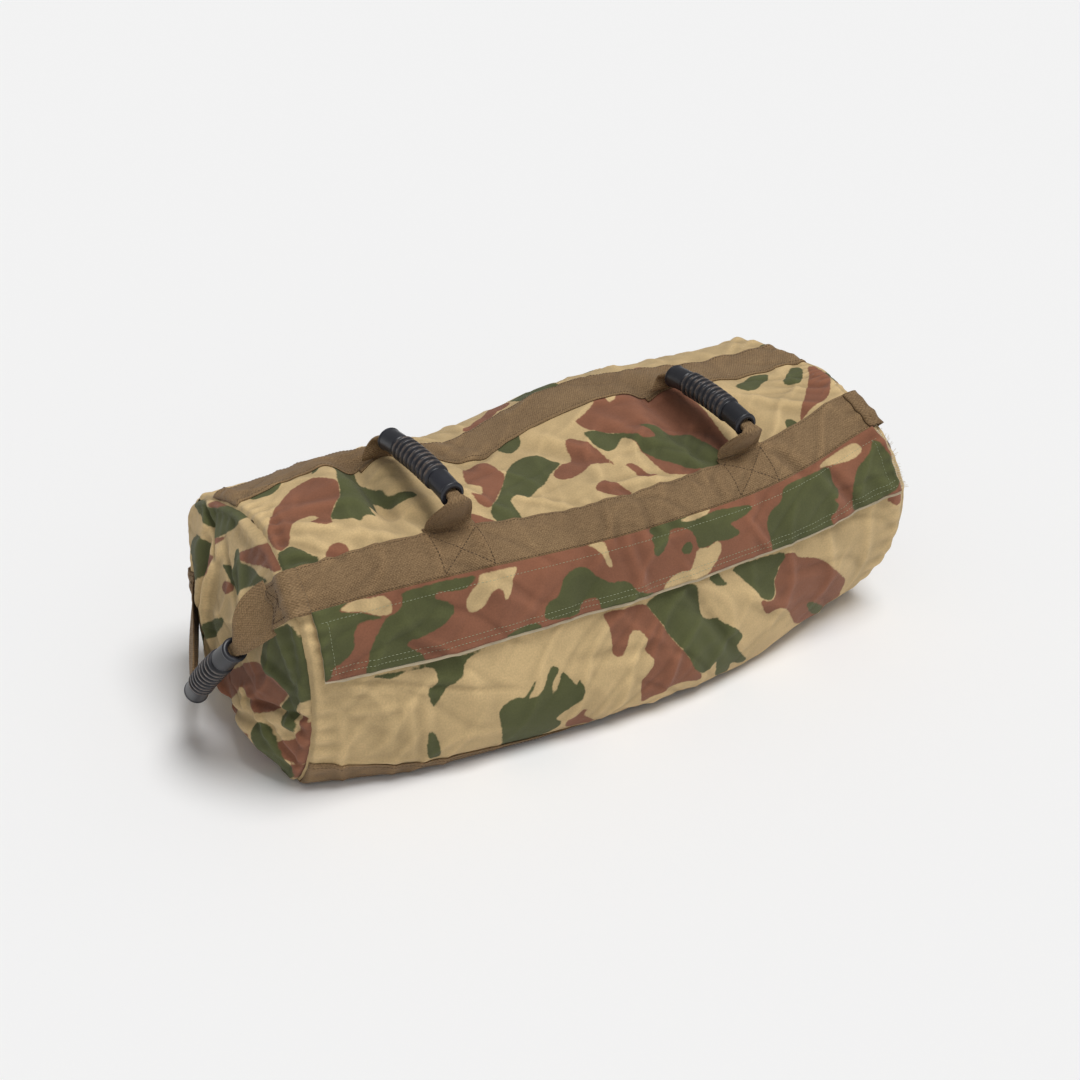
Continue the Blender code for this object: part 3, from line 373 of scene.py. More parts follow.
def drawn_outline(corners, rounds):
    """Closed outline with its corners cut a quarter in from each side, that many rounds."""
    points = corners / 1000
    for _ in range(rounds):
        after = np.roll(points, -1, axis=0)
        points = np.stack([0.75 * points + 0.25 * after, 0.25 * points + 0.75 * after], 1).reshape(-1, 2)
    return points


def ink_distance(x, arc, patches, ink):
    """Distance to the nearest patch edge of one ink, in metres, below zero inside a patch: the
    least distance to an outline's sides, with its sign from how often a ray crosses them."""
    found = np.full(x.shape, 0.02)
    for kind, corners in patches:
        if kind != ink:
            continue
        outline = drawn_outline(corners, 1 if ink == "green" else 2)
        shift = np.round((arc - outline[:, 1].mean()) / girth) * girth
        level = arc - shift
        low = outline.min(0) - 0.02
        high = outline.max(0) + 0.02
        near = (x > low[0]) & (x < high[0]) & (level > low[1]) & (level < high[1])
        if not near.any():
            continue
        p = np.stack([x[near], level[near]], 1)[:, None]
        a = outline[None]
        b = np.roll(outline, -1, axis=0)[None]
        side = b - a
        t = np.clip(((p - a) * side).sum(-1) / np.maximum((side * side).sum(-1), 1e-12), 0, 1)
        gap = np.sqrt((((p - a) - t[..., None] * side) ** 2).sum(-1)).min(1)
        spans = (a[..., 1] > p[..., 1]) != (b[..., 1] > p[..., 1])
        rise = np.where(side[..., 1] == 0, 1e-12, side[..., 1])
        cross_at = a[..., 0] + (p[..., 1] - a[..., 1]) * side[..., 0] / rise
        inside = (spans & (p[..., 0] < cross_at)).sum(1) % 2 == 1
        found[near] = np.minimum(found[near], np.where(inside, -gap, gap))
    return found


def turned(patches):
    """The same patches on the far side of the bag: x reversed, half a girth further round."""
    half_round = girth * 500
    return [(ink, np.round(corners * (-1, 1) + (0, half_round))) for ink, corners in patches]


def cloth_mesh(name, grid, wrap=False, ring=False, caps=0, uv=None, flip=False, smooth=True):
    """Mesh over a grid of points: quads between neighbours, joined round if wrapped, its first
    end or both closed by a face if capped, with the given pattern coordinates at its corners."""
    rows, cols = grid.shape[:2]
    index = np.arange(rows * cols).reshape(rows, cols)
    across = np.concatenate([index, index[:, :1]], 1) if wrap else index
    across = np.concatenate([across, across[:1]], 0) if ring else across
    quads = np.stack([across[:-1, :-1], across[:-1, 1:], across[1:, 1:], across[1:, :-1]], -1)
    turn = -1 if flip else 1
    faces = quads.reshape(-1, 4)[:, ::turn].tolist()
    faces += [end[::turn].tolist() for end in (index[0, ::-1], index[-1])[:caps]]
    mesh = bpy.data.meshes.new(name)
    mesh.from_pydata(grid.reshape(-1, 3).tolist(), [], faces)
    if uv is not None:
        i, j = np.meshgrid(np.arange(rows - 1), np.arange(across.shape[1] - 1), indexing="ij")
        corner = [(i, j), (i, j + 1), (i + 1, j + 1), (i + 1, j)]
        if flip:
            corner = corner[::-1]
        coords = np.stack([uv[a, b] for a, b in corner], 2).reshape(-1, 2)
        extra = len(mesh.loops) - len(coords)
        coords = np.concatenate([coords, np.zeros((extra, 2))])
        mesh.uv_layers.new(name="cloth").data.foreach_set("uv", coords.astype(np.float32).ravel())
    mesh.polygons.foreach_set("use_smooth", np.full(len(mesh.polygons), smooth))
    mesh.update()
    return placed(name, mesh)


def mark(piece, name, values):
    """Stores one value for each vertex under a name that the materials read."""
    kept = piece.data.attributes.new(name, "FLOAT", "POINT")
    kept.data.foreach_set("value", values.ravel().astype(np.float32))


def print_on(piece, x, arc, patches, ground=0.02):
    """Stores each vertex's distance to the green, brown and sand ink as attributes."""
    for ink, start in (("green", 0.02), ("brown", ground), ("sand", 0.02)):
        mark(piece, ink, np.minimum(ink_distance(x.ravel(), arc.ravel(), patches, ink), start))


def tone(red, green, blue):
    """Linear colour of a display colour given in 0 to 255."""
    c = np.array([red, green, blue]) / 255
    return (*np.where(c <= 0.04045, c / 12.92, ((c + 0.055) / 1.055) ** 2.4), 1)


def node(tree, kind, inputs=(), **settings):
    """New shader node with its settings, its sockets filled by values or by other sockets."""
    made = tree.nodes.new(kind)
    for key, value in settings.items():
        setattr(made, key, value)
    for key, value in dict(inputs).items():
        if isinstance(value, bpy.types.NodeSocket):
            tree.links.new(value, made.inputs[key])
        else:
            made.inputs[key].default_value = value
    return made


def calc(tree, operation, *values):
    """Output of a Math node on one to three values or sockets."""
    return node(tree, "ShaderNodeMath", enumerate(values), operation=operation).outputs[0]


def mixed(tree, share, first, second, blend="MIX"):
    """Output colour of a Mix node between two colours or sockets."""
    inputs = {0: share, 6: first, 7: second}
    return node(tree, "ShaderNodeMix", inputs, data_type="RGBA", blend_type=blend).outputs[2]


def noise(tree, place, scale, detail, dimensions="3D", roughness=0.5):
    """Output of a noise texture read at a place, so many times a metre."""
    inputs = {"Vector": place, "Scale": scale, "Detail": detail, "Roughness": roughness}
    return node(tree, "ShaderNodeTexNoise", inputs, noise_dimensions=dimensions).outputs[0]


def carried(tree, value, low, high, to_low=0.0, to_high=1.0):
    """Output of a value carried from one range onto another, and held at its ends."""
    return node(tree, "ShaderNodeMapRange", {0: value, 1: low, 2: high, 3: to_low, 4: to_high}).outputs[0]


def wave(tree, value, pitch):
    """Output of sin(2 pi value / pitch)."""
    return calc(tree, "SINE", calc(tree, "MULTIPLY", value, 2 * math.pi / pitch))


def shaded(tree, colour, level):
    """Output of a colour times a grey level."""
    grey = node(tree, "ShaderNodeCombineColor", {0: level, 1: level, 2: level}).outputs[0]
    return mixed(tree, 1.0, colour, grey, "MULTIPLY")


def stored(tree, name):
    """Output of a value that the mesh stores under a name."""
    return node(tree, "ShaderNodeAttribute", attribute_name=name, attribute_type="GEOMETRY").outputs["Fac"]


def with_painted_crease_shade(tree, colour):
    """The colour with painted shade, darker in the cloth's valleys and seams, and painted highlight, paler
    on its ridges.
    """
    return shaded(tree, colour, carried(tree, stored(tree, "painted_crease_shade"), -0.0012, 0.0012, 0.80, 1.08))


def new_finish(name, **finish):
    """New material with numbers on its shader's sockets: material, node tree, places in metres."""
    material = bpy.data.materials.new(name)
    material.use_nodes = True
    tree = material.node_tree
    for socket, value in finish.items():
        tree.nodes["Principled BSDF"].inputs[socket.replace("_", " ")].default_value = value
    return material, tree, node(tree, "ShaderNodeTexCoord").outputs["Object"]


def cover(tree, colour, height=None, strength=0.0, distance=0.0):
    """Gives a material's shader its colour and, where a height is given, a raised surface."""
    shader = tree.nodes["Principled BSDF"]
    tree.links.new(colour, shader.inputs["Base Color"])
    if height is not None:
        bump = node(tree, "ShaderNodeBump", {"Height": height, "Strength": strength, "Distance": distance})
        tree.links.new(bump.outputs[0], shader.inputs["Normal"])


def printed_canvas():
    """Cotton canvas: sand ground with brown, green and sand ink inside the patches' edges,
    mottled ink, painted shade in valleys and seams, painted highlight on ridges, a plain weave raised in the
    surface, and a dull soft finish."""
    material, tree, place = new_finish(
        "printed_canvas", Roughness=0.88, Specular_IOR_Level=0.22, Sheen_Weight=0.12, Sheen_Roughness=0.5
    )
    uv = node(tree, "ShaderNodeUVMap", uv_map="cloth").outputs[0]
    ragged = calc(tree, "SUBTRACT", noise(tree, uv, 260.0, 3.0, "2D"), 0.5)
    ragged = calc(tree, "MULTIPLY", ragged, 0.0022)
    sand_ink = (207, 179, 131)
    colour = tone(*sand_ink)
    for ink, shade in (("brown", (142, 93, 69)), ("green", (88, 91, 55)), ("sand", sand_ink)):
        edge = calc(tree, "ADD", stored(tree, ink), ragged)
        colour = mixed(tree, carried(tree, edge, 0.0006, -0.0006), colour, tone(*shade))
    worn = carried(tree, noise(tree, place, 13.0, 5.0, roughness=0.65), 0.35, 0.65, 0.84, 1.09)
    fine = carried(tree, noise(tree, uv, 620.0, 2.0, "2D"), 0.3, 0.7, 0.93, 1.07)
    # Painted shade darkens the cloth's valleys and seams, and painted highlight pales its ridges.
    colour = with_painted_crease_shade(tree, shaded(tree, colour, calc(tree, "MULTIPLY", worn, fine)))
    split = node(tree, "ShaderNodeSeparateXYZ", {0: uv})
    warp, weft = (wave(tree, split.outputs[k], 0.00095) for k in (0, 1))
    threads = calc(tree, "MULTIPLY", warp, weft)
    slubs = calc(tree, "MULTIPLY", noise(tree, uv, 90.0, 4.0, "2D"), 3.0)
    cover(tree, colour, calc(tree, "ADD", threads, slubs), strength=0.35, distance=0.0004)
    return material


def dress(piece, material, body=None, stands_for=None):
    """Gives a piece its material and, where they are named, attaches it to the body that it rides
    on and hides the model's solid that it stands for."""
    piece.data.materials.append(material)
    if body:
        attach(piece, body)
    if stands_for:
        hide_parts(stands_for)


canvas = printed_canvas()
all_print = body_print + turned(body_print) + turned(flap_print)
half = body_length / 2


def spread_over(first, second):
    """Two values over a grid, the first changing from row to row and the second along a row."""
    return np.meshgrid(first, second, indexing="ij")


def looped(first, second):
    """Pattern coordinates of two values over a grid whose rows come back to their start."""
    return np.stack([np.concatenate([values, values[:, :1]], 1) for values in (first, second)], -1)


once_round = np.linspace(-girth / 2, girth / 2, 381)
along, around = spread_over(np.linspace(-half, half, 252), once_round[:-1])
body_uv = np.stack(spread_over(np.linspace(-half, half, 252), once_round), -1)
body_cloth = cloth_mesh("body_cloth", cloth(along, around), wrap=True, uv=body_uv, flip=True)
print_on(body_cloth, along, around, all_print)
# Painted shade: the crease value darkens the cloth's valleys and pales its ridges, and a dark line is
# painted along the end seams.
seam_shade = 0.0040 * np.clip(1 - (half - np.abs(along)) / 0.0045, 0, 1)
mark(body_cloth, "painted_crease_shade", crease_of(cloth_relief, along, around) - seam_shade)
dress(body_cloth, canvas, "bag", "barrel_panel")

# End cloths: two rounded panels of the same canvas, sewn to the tube with the seam allowance
# turned inwards, domed by the sand and creased where the filling has dropped.
end_swell = 0.027
# Where the end grips come to lie against the cloth: y, z and depth, by side.
grip_hollow = {-1: (0.013, 0.044, 0.0080), 1: (-0.043, 0.108, 0.0065)}
end_folds = [
    (84, 203, 35, 175, 5, -2.5), (35, 175, 46, 85, 8, 4.6), (-38, 72, -125, 92, 4, -2.4),
    (62, 186, 74, 84, 12, -4.5), (-10, 196, -60, 150, 10, 2.4), (-84, 190, -60, 140, 9, -2.6),
    (-57, 62, -111, 80, 6, 1.6), (13, 222, -37, 218, 8, 1.5), (27, 193, -13, 160, 6, -1.5),
    (60, 20, -55, 56, 7, -2.5), (-39, 80, -79, 47, 7, 2), (-66, 127, -101, 113, 9, 2),
    (70, 136, 93, 47, 6, -2), (-102, 167, -113, 119, 9, 1.5), (-69, 62, -103, 30, 6, -2),
    (-92, 88, -117, 56, 6, 2), (-28, 81, -33, 60, 4, 1.5), (90, 110, 60, 60, 9, 2),
    (0, 120, 20, 60, 12, -1.8), (-20, 150, -40, 100, 14, 1.6), (40, 50, 10, 25, 7, 1.8),
]
end_print = patches_of("""
green 119,190 105,200 86,205 69,207 53,216 42,223 26,226 9,229 11,223 19,213 29,203 40,194 52,187 64,189
80,191 100,189
brown 81,207 61,219 34,225 43,222 54,214 67,207
brown 57,187 36,195 28,202 34,193 43,185 52,184
brown -2,200 -17,210 -34,222 -44,228 -58,227 -73,224 -83,222 -71,216 -48,210 -27,200 -12,197
green 4,193 4,202 -6,201 -13,196 -23,198 -40,202 -55,203 -71,207 -42,188 -31,182 -30,175 -19,166 -6,165 3,169
14,173 24,177 10,180 0,182
brown 18,155 16,162 9,168 0,169 -5,163 7,155
green -70,151 -90,171 -112,189 -121,175 -126,156 -126,129 -125,113 -111,105 -104,88 -108,75 -97,63 -88,74
-88,91 -100,108 -89,120 -73,116 -66,125
brown 60,40 -11,86 -45,116 -65,123 -84,124 -100,123 -101,113 -91,97 -78,78 -57,66 -41,68 -35,78 -28,81 -7,51
40,26
brown -110,100 -118,89 -120,73 -117,56 -112,41 -103,31 -87,33 -78,43 -86,53 -101,59 -111,77
brown -27,28 -25,29 -52,44 -36,25 -37,14
green 115,109 138,116 107,157 82,178 61,173 54,159 77,132
brown 72,160 47,176 36,172 35,159 56,146
green 76,75 28,120 4,134 13,118 38,90
green 130,60 100,72 84,50 60,46 70,30 96,22 126,30
brown 20,60 0,52 -14,34 4,18 34,14 52,28 44,44
green -52,60 -70,62 -84,44 -96,18 -84,4 -60,8 -52,30
brown -92,30 -112,34 -122,16 -112,2 -94,2 -88,14
brown -44,22 -20,16 6,12 2,2 -46,2 -56,8
brown -128,140 -120,150 -112,140 -116,118 -128,116
""")


def end_relief(y, z, side):
    """Height of an end cloth's folds and creases at (y, z), seen from outside."""
    return 1.5 * fold_relief(-side * y, z, end_folds) + crumple(1.1 * y + 0.37 * side, z)


def end_cloth(side, arc, share, lift=0.0):
    """Point of an end cloth at a share of the way from its middle to its seam: it goes straight
    out to the seam in y and z, and swells along x by s (1 - share^2.4) with a welt at the seam."""
    arc, share = np.broadcast_arrays(np.asarray(arc, float), np.asarray(share, float))
    ring = settled(side * half, np.linspace(0, girth, 240, endpoint=False))
    middle = np.array([ring[:, 0].mean(), ring[:, 1].mean(), 0.102])
    rim = settled(np.full(arc.shape, side * half), arc)
    point = middle + (rim - middle) * share[..., None]
    swell = end_swell * (1 - share**2.4) + 0.0022 * np.exp(-(((share - 0.945) / 0.026) ** 2))
    y = point[..., 1]
    z = point[..., 2]
    # The sand spreads low down, and the grip presses a hollow into the cloth.
    low = np.exp(-(((z - 0.034) / 0.026) ** 2) - ((y + 0.01) / 0.10) ** 2)
    swell = swell + 0.015 * low * (1 - share**6)
    hollow_y, hollow_z, hollow_depth = grip_hollow[side]
    swell = swell - hollow_depth * np.exp(-((y - hollow_y) ** 2 + (z - hollow_z) ** 2) / 0.018**2)
    # Puckers run round the seam, folds fade before it, and its allowance is tucked in.
    ripple = np.sin(arc * 2 * np.pi / 0.0171 + 1.7 * np.sin(arc * 29))
    ripple = 0.0010 * ripple * np.exp(-(((share - 0.9) / 0.07) ** 2)) * (1 - share**8)
    relief = end_relief(y, z, side) * np.clip((1 - share) / 0.04, 0, 1)
    tuck = -0.0045 * np.clip((share - 0.968) / 0.032, 0, 1) ** 1.5
    point[..., 0] = middle[0] + (rim[..., 0] - middle[0]) * share**1.4
    point[..., 0] += side * (swell + relief + tuck + ripple + lift)
    turned_in = 0.038 * np.clip((share - 0.955) / 0.045, 0, 1) ** 2
    point[..., 1:] += (middle[1:] - rim[..., 1:]) * turned_in[..., None]
    point[..., 2] = np.maximum(point[..., 2], 0.0006)
    return point


for name, side in (("left", -1), ("right", 1)):
    share, arc = spread_over(np.linspace(0.002, 1, 120), np.linspace(0, girth, 341)[:-1])
    points = end_cloth(side, arc, share)
    y = points[..., 1]
    z = points[..., 2]
    end_panel = cloth_mesh(name + "_end_cloth", points, wrap=True, caps=1, uv=looped(y, z), flip=side > 0)
    print_on(end_panel, -side * y, z, end_print)
    # Painted shade: the crease value darkens the end cloth's valleys and pales its ridges, and a dark line
    # is painted along the seam.
    seam_shade = 0.0040 * np.clip((share - 0.972) / 0.028, 0, 1)
    mark(end_panel, "painted_crease_shade", crease_of(partial(end_relief, side=side), y, z) - seam_shade)
    dress(end_panel, canvas, "bag", name + "_end_panel")

# Straps: four lengths of 50 mm brown nylon webbing sewn along the body, two above and two
# below, with their ends caught in the end seams.
strap_width, strap_thickness = 0.050, 0.0018
strap_arcs = {"top_front": 0.120, "top_back": -0.060, "bottom_front": 0.3055, "bottom_back": -0.250}


def under_belly(x):
    """How much further round the bottom front strap lies: it rolls under the belly to the right."""
    share = np.clip((x + 0.3) / 0.28, 0, 1)
    return 0.0195 + 0.040 * share * share * (3 - 2 * share)


def between_handles(x):
    """How far the top back strap sags forwards where the cloth drops beside the left handle."""
    return 0.017 * np.exp(-(((x + 0.080) / 0.040) ** 2)) - 0.005 * np.exp(-(((x - 0.04) / 0.06) ** 2))


def straight(x):
    """No sideways drift along a line of places."""
    return np.zeros_like(x)


def laid(name, grid_x, grid_arc, lift):
    """Closed band over a grid of places on the body cloth, with painted shade in the cloth's valleys."""
    grid = cloth(grid_x, grid_arc, lift)
    piece = cloth_mesh(name, grid, wrap=True, caps=2, uv=looped(grid_x, grid_arc), flip=True)
    # Painted shade and highlight: the cloth's crease values, which the material uses to darken valleys and
    # pale ridges.
    mark(piece, "painted_crease_shade", crease_of(cloth_relief, grid_x, grid_arc))
    return piece


def ribbon(name, x, arc, lift, thickness, wrap_edges=0.0006, drift=straight):
    """Flat webbing laid on the cloth along x: its section is a closed loop over the arcs, one
    thickness high above the lift, with its edges rounded down."""
    up = np.concatenate([[arc[0]], arc, [arc[-1]], arc[::-1]])
    count = len(arc)
    top = np.full(count, thickness)
    top[0] = top[-1] = thickness - wrap_edges
    height = np.concatenate([[thickness / 2], top, [thickness / 2], np.zeros(count)])
    up[0] -= wrap_edges
    up[count + 1] += wrap_edges
    grid_x, grid_arc = spread_over(x, up)
    grid_arc = grid_arc + drift(grid_x)
    return laid(name, grid_x, grid_arc, lift + height)


def woven_webbing():
    """Nylon webbing: fine ribs across its width, columns of warp along it, brown with paler
    and darker threads, painted shade between the ribs and in valleys, painted highlight on ribs and ridges,
    and a slight shine."""
    material, tree, place = new_finish(
        "brown_webbing", Roughness=0.72, Specular_IOR_Level=0.3, Sheen_Weight=0.08
    )
    uv = node(tree, "ShaderNodeUVMap", uv_map="cloth").outputs[0]
    split = node(tree, "ShaderNodeSeparateXYZ", {0: uv})
    ribs = calc(tree, "MULTIPLY", wave(tree, split.outputs[0], 0.0025), wave(tree, split.outputs[1], 0.0031))
    stretched = node(tree, "ShaderNodeMapping", {0: uv, 3: (1.0, 9.0, 1.0)}).outputs[0]
    thread = noise(tree, stretched, 130.0, 3.0, "2D")
    speck = noise(tree, uv, 700.0, 1.0, "2D")
    share = calc(tree, "ADD", calc(tree, "MULTIPLY", thread, 0.8), calc(tree, "MULTIPLY", speck, 0.9))
    share = calc(tree, "ADD", share, calc(tree, "MULTIPLY", noise(tree, place, 14.0, 3.0), 0.7))
    share = carried(tree, share, 0.75, 1.65)
    colour = mixed(tree, share, tone(104, 79, 50), tone(158, 129, 92))
    # Painted shade in the grooves between the ribs and in the cloth's valleys, painted highlight on the rib
    # tops and ridges.
    colour = with_painted_crease_shade(tree, shaded(tree, colour, carried(tree, ribs, -1.0, 1.0, 0.80, 1.12)))
    height = calc(tree, "ADD", ribs, calc(tree, "MULTIPLY", speck, 0.8))
    cover(tree, colour, height, strength=0.5, distance=0.0005)
    return material


webbing = woven_webbing()
drifts = {"bottom_front": under_belly, "top_back": between_handles}
strap_x = np.linspace(-0.2985, 0.2985, 250)
strap_lift = 0.0003
for place_name, middle_arc in strap_arcs.items():
    arcs = np.linspace(middle_arc - strap_width / 2, middle_arc + strap_width / 2, 22)
    drift = drifts.get(place_name, straight)
    strap = ribbon(place_name + "_webbing_strap", strap_x, arcs, strap_lift, strap_thickness, drift=drift)
    dress(strap, webbing, "bag", place_name + "_strap")


def lengths_along(path):
    """Length along a path of points up to each of them."""
    return np.concatenate([[0], np.cumsum(np.linalg.norm(np.diff(path, axis=0), axis=1))])


def on_path(at, run, values):
    """Vectors given along a path, taken at other lengths by straight steps."""
    return np.stack([np.interp(at, run, values[:, k]) for k in range(3)], 1)


def stitch_row(path, up, pitch=0.0036, long=0.0027, wide=0.0006, high=0.00035):
    """Row of sewn stitches along a path: each a small eight-sided grain, its long way along
    the path, sunk at both ends, its back along up."""
    run = lengths_along(path)
    at = np.arange(pitch / 2, run[-1], pitch)
    centre = on_path(at, run, path)
    normal = on_path(at, run, up)
    ahead = on_path(at + 0.001, run, path) - on_path(at - 0.001, run, path)
    ahead /= np.linalg.norm(ahead, axis=1, keepdims=True)
    side = np.cross(normal, ahead)
    grain = np.array([
        (-0.5, 0, -0.6), (-0.3, -0.5, 0), (-0.3, 0, 1), (-0.3, 0.5, 0),
        (0.3, -0.5, 0), (0.3, 0, 1), (0.3, 0.5, 0), (0.5, 0, -0.6),
    ])
    faces = np.array([
        (0, 2, 1), (0, 3, 2), (1, 2, 5), (1, 5, 4), (2, 3, 6), (2, 6, 5),
        (4, 5, 7), (5, 6, 7), (0, 1, 4), (0, 4, 7), (0, 7, 6), (0, 6, 3),
    ])
    frames = np.stack([ahead, side, normal], 1)
    points = centre[:, None] + np.einsum("gk,nkd->ngd", grain * (long, wide, high), frames)
    every = (faces[None] + 8 * np.arange(len(at))[:, None, None]).reshape(-1, 3)
    return points.reshape(-1, 3), every


def stitches(x, arc, lift, **grain):
    """Row of stitches along a line (x, arc) on the body cloth, at lifts above it."""
    fine = np.linspace(0, 1, 600)
    line_x = np.interp(fine, np.linspace(0, 1, len(x)), x)
    line_arc = np.interp(fine, np.linspace(0, 1, len(arc)), arc)
    lifts = np.interp(fine, np.linspace(0, 1, len(lift)), lift)
    return stitch_row(cloth(line_x, line_arc, lifts), outward(line_x, line_arc), **grain)


def between(tree, share, shade, dark, pale=1.0):
    """Output colour of a share of the way from a shade's darker to its paler level."""
    return mixed(tree, share, tone(*[v * dark for v in shade]), tone(*[v * pale for v in shade]))


def thread_material(name, shade):
    """Sewing thread: one colour broken by fine paler and darker plies."""
    material, tree, place = new_finish(name, Roughness=0.7)
    share = carried(tree, noise(tree, place, 900.0, 2.0), 0.35, 0.65)
    cover(tree, between(tree, share, shade, 0.8))
    return material


def sew(name, rows, body, material):
    """Joins rows of stitches into one piece, which rides on a body where one is named."""
    before = np.cumsum([0] + [len(points) for points, _ in rows])
    points = np.concatenate([points for points, _ in rows])
    faces = np.concatenate([faces + start for (_, faces), start in zip(rows, before)])
    mesh = bpy.data.meshes.new(name)
    mesh.from_pydata(points.tolist(), [], faces.tolist())
    mesh.polygons.foreach_set("use_smooth", np.ones(len(mesh.polygons), bool))
    mesh.materials.append(material)
    piece = placed(name, mesh)
    if body:
        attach(piece, body)
    return piece


brown_thread = thread_material("brown_thread", (88, 66, 42))
rows = []
on_strap = np.full(2, strap_lift + strap_thickness)
for place_name, middle_arc in strap_arcs.items():
    for offset in (0.003 - strap_width / 2, strap_width / 2 - 0.003):
        line_x = np.linspace(-0.296, 0.296, 40)
        line_arc = middle_arc + offset + drifts.get(place_name, straight)(line_x)
        rows.append(stitches(line_x, line_arc, on_strap))
# A box crossed from corner to corner under each top handle, sewn with a heavier thread.
heavy = {"long": 0.0029, "wide": 0.0010, "high": 0.0005}
handle_x = 0.152
box_half = 0.022
box_low, box_high = 0.099, 0.141
for x in (-handle_x, handle_x):
    sides = (x - box_half, x + box_half)
    rows.append(stitches(sides, (box_low, box_high), on_strap, **heavy))
    rows.append(stitches(sides, (box_high, box_low), on_strap, **heavy))
    for box_x in sides:
        rows.append(stitches((box_x, box_x), (box_low, box_high), on_strap, **heavy))
sew("strap_stitching", rows, "bag", brown_thread)

# Cover flap: a strip of the printed canvas, hemmed and sewn in under the top front strap, with
# a pale lining that shows as a thin line below, and hook tape inside its lower edge.
flap_top, flap_low, flap_half = 0.1440, 0.2092, 0.289
flap_thickness, lining_show = 0.0012, 0.0030


def flap_rise(x, arc):
    """Height of the flap above the cloth: low at its seam, over the zip tape and closure, a
    wave along its lower edge, and its right end curled up."""
    down = np.clip((arc - flap_top) / (flap_low - flap_top), 0, 1.1)
    ease = np.clip(down / 0.3, 0, 1)
    rise = 0.0024 + 0.0026 * ease * ease * (3 - 2 * ease)
    wave = 0.0007 * np.sin(x * 33 + 0.6) * down + 0.0005 * np.sin(x * 71 + 2) * down**2
    curl = 0.0060 * np.clip((x - 0.258) / 0.031, 0, 1.1) ** 2
    return rise + wave + curl * (0.35 + 0.65 * np.abs(np.sin(down * 5)))


def layer(name, x, arc, lift, thickness):
    """Thin cloth layer that follows the flap: two faces a thickness apart, closed round. It
    comes with the places (x, arc) of its points."""
    up = np.concatenate([arc, arc[::-1]])
    height = np.concatenate([np.full(len(arc), thickness), np.zeros(len(arc))])
    grid_x, grid_arc = spread_over(x, up)
    rise = flap_rise(grid_x, grid_arc)
    return laid(name, grid_x, grid_arc, lift + height + rise), grid_x, grid_arc


flap_x = np.linspace(-flap_half, flap_half, 244)
flap_arc = np.linspace(flap_top, flap_low, 40)
flap, grid_x, grid_arc = layer("flap_canvas", flap_x, flap_arc, 0.0, flap_thickness)
print_on(flap, grid_x, grid_arc, flap_print, ground=-0.01)


def plain_cloth(name, shade, pitch=0.0008, rough=0.85):
    """Plain dyed cloth: a faint weave and cloudy colour."""
    material, tree, place = new_finish(name, Roughness=rough, Specular_IOR_Level=0.2)
    share = carried(tree, noise(tree, place, 60.0, 5.0), 0.3, 0.7)
    split = node(tree, "ShaderNodeSeparateXYZ", {0: place})
    weave = calc(tree, "MULTIPLY", wave(tree, split.outputs[0], pitch), wave(tree, split.outputs[2], pitch))
    cover(tree, between(tree, share, shade, 0.86), weave, strength=0.4, distance=0.0003)
    return material


lining_arc = np.linspace(flap_top, flap_low + lining_show, 42)
lining = layer("flap_pale_lining", flap_x, lining_arc, lift=-0.0008, thickness=0.0007)[0]
tape_x = np.linspace(-0.266, 0.266, 180)
tape_arc = np.linspace(0.1898, 0.2048, 6)
hook = layer("flap_hook_tape", tape_x, tape_arc, lift=-0.0018, thickness=0.0009)[0]
loop = ribbon("flap_loop_tape", tape_x, tape_arc, lift=0.0003, thickness=0.0010)
hook_brown = plain_cloth("brown_hook_tape", (92, 74, 52), pitch=0.0016, rough=0.6)
loop_brown = plain_cloth("brown_loop_tape", (98, 80, 58), pitch=0.0012, rough=0.9)
for piece, material, slot, body, stands_for in (
    (flap, canvas, "canvas", None, "cover_flap"),
    (lining, plain_cloth("pale_lining", (214, 197, 166)), "lining", None, "flap_lining"),
    (hook, hook_brown, "hook_strip", None, "flap_hook_strip"),
    (loop, loop_brown, "loop_strip", "bag", "flap_loop_strip"),
):
    dress(piece, material, body, stands_for)


def flap_seam(x, arc):
    """Row of stitches along a line (x, arc) over the flap."""
    return stitches(x, arc, flap_rise(x, arc) + flap_thickness, wide=0.0005)


seam_x = np.linspace(-0.285, 0.285, 200)
side_arc = np.linspace(0.1555, 0.2035, 30)
rows = [flap_seam(seam_x, np.full(200, seam_arc)) for seam_arc in (0.1555, 0.1985, 0.2035)]
rows += [flap_seam(np.full(30, end_x), side_arc) for end_x in (-0.2795, 0.2795)]
flap_seams = sew("flap_stitching", rows, None, thread_material("pale_green_thread", (168, 174, 140)))

# Threads frayed out of its right end, each a short wandering strand of thin grains.
rows = []
strand = np.linspace(0, 1, 12)
for count in range(44):
    strand_arc = 0.150 + 0.058 * ((count * 0.618) % 1) + 0.0045 * math.sin(count * 2.4) * strand
    out_x = flap_half - 0.002 + (0.0045 + 0.0035 * math.sin(count * 1.7) ** 2) * strand
    lift = 0.0003 + 0.0016 * strand**2 * (1 + math.sin(count * 3.1))
    lift = lift + flap_rise(np.minimum(out_x, flap_half), strand_arc)
    path = cloth(np.minimum(out_x, 0.299), strand_arc, lift)
    up = outward(np.minimum(out_x, 0.297), strand_arc)
    rows.append(stitch_row(path, up, pitch=0.0052, long=0.0062, wide=0.0005, high=0.0004))
frayed = sew("flap_frayed_threads", rows, None, thread_material("cream_thread", (226, 214, 190)))

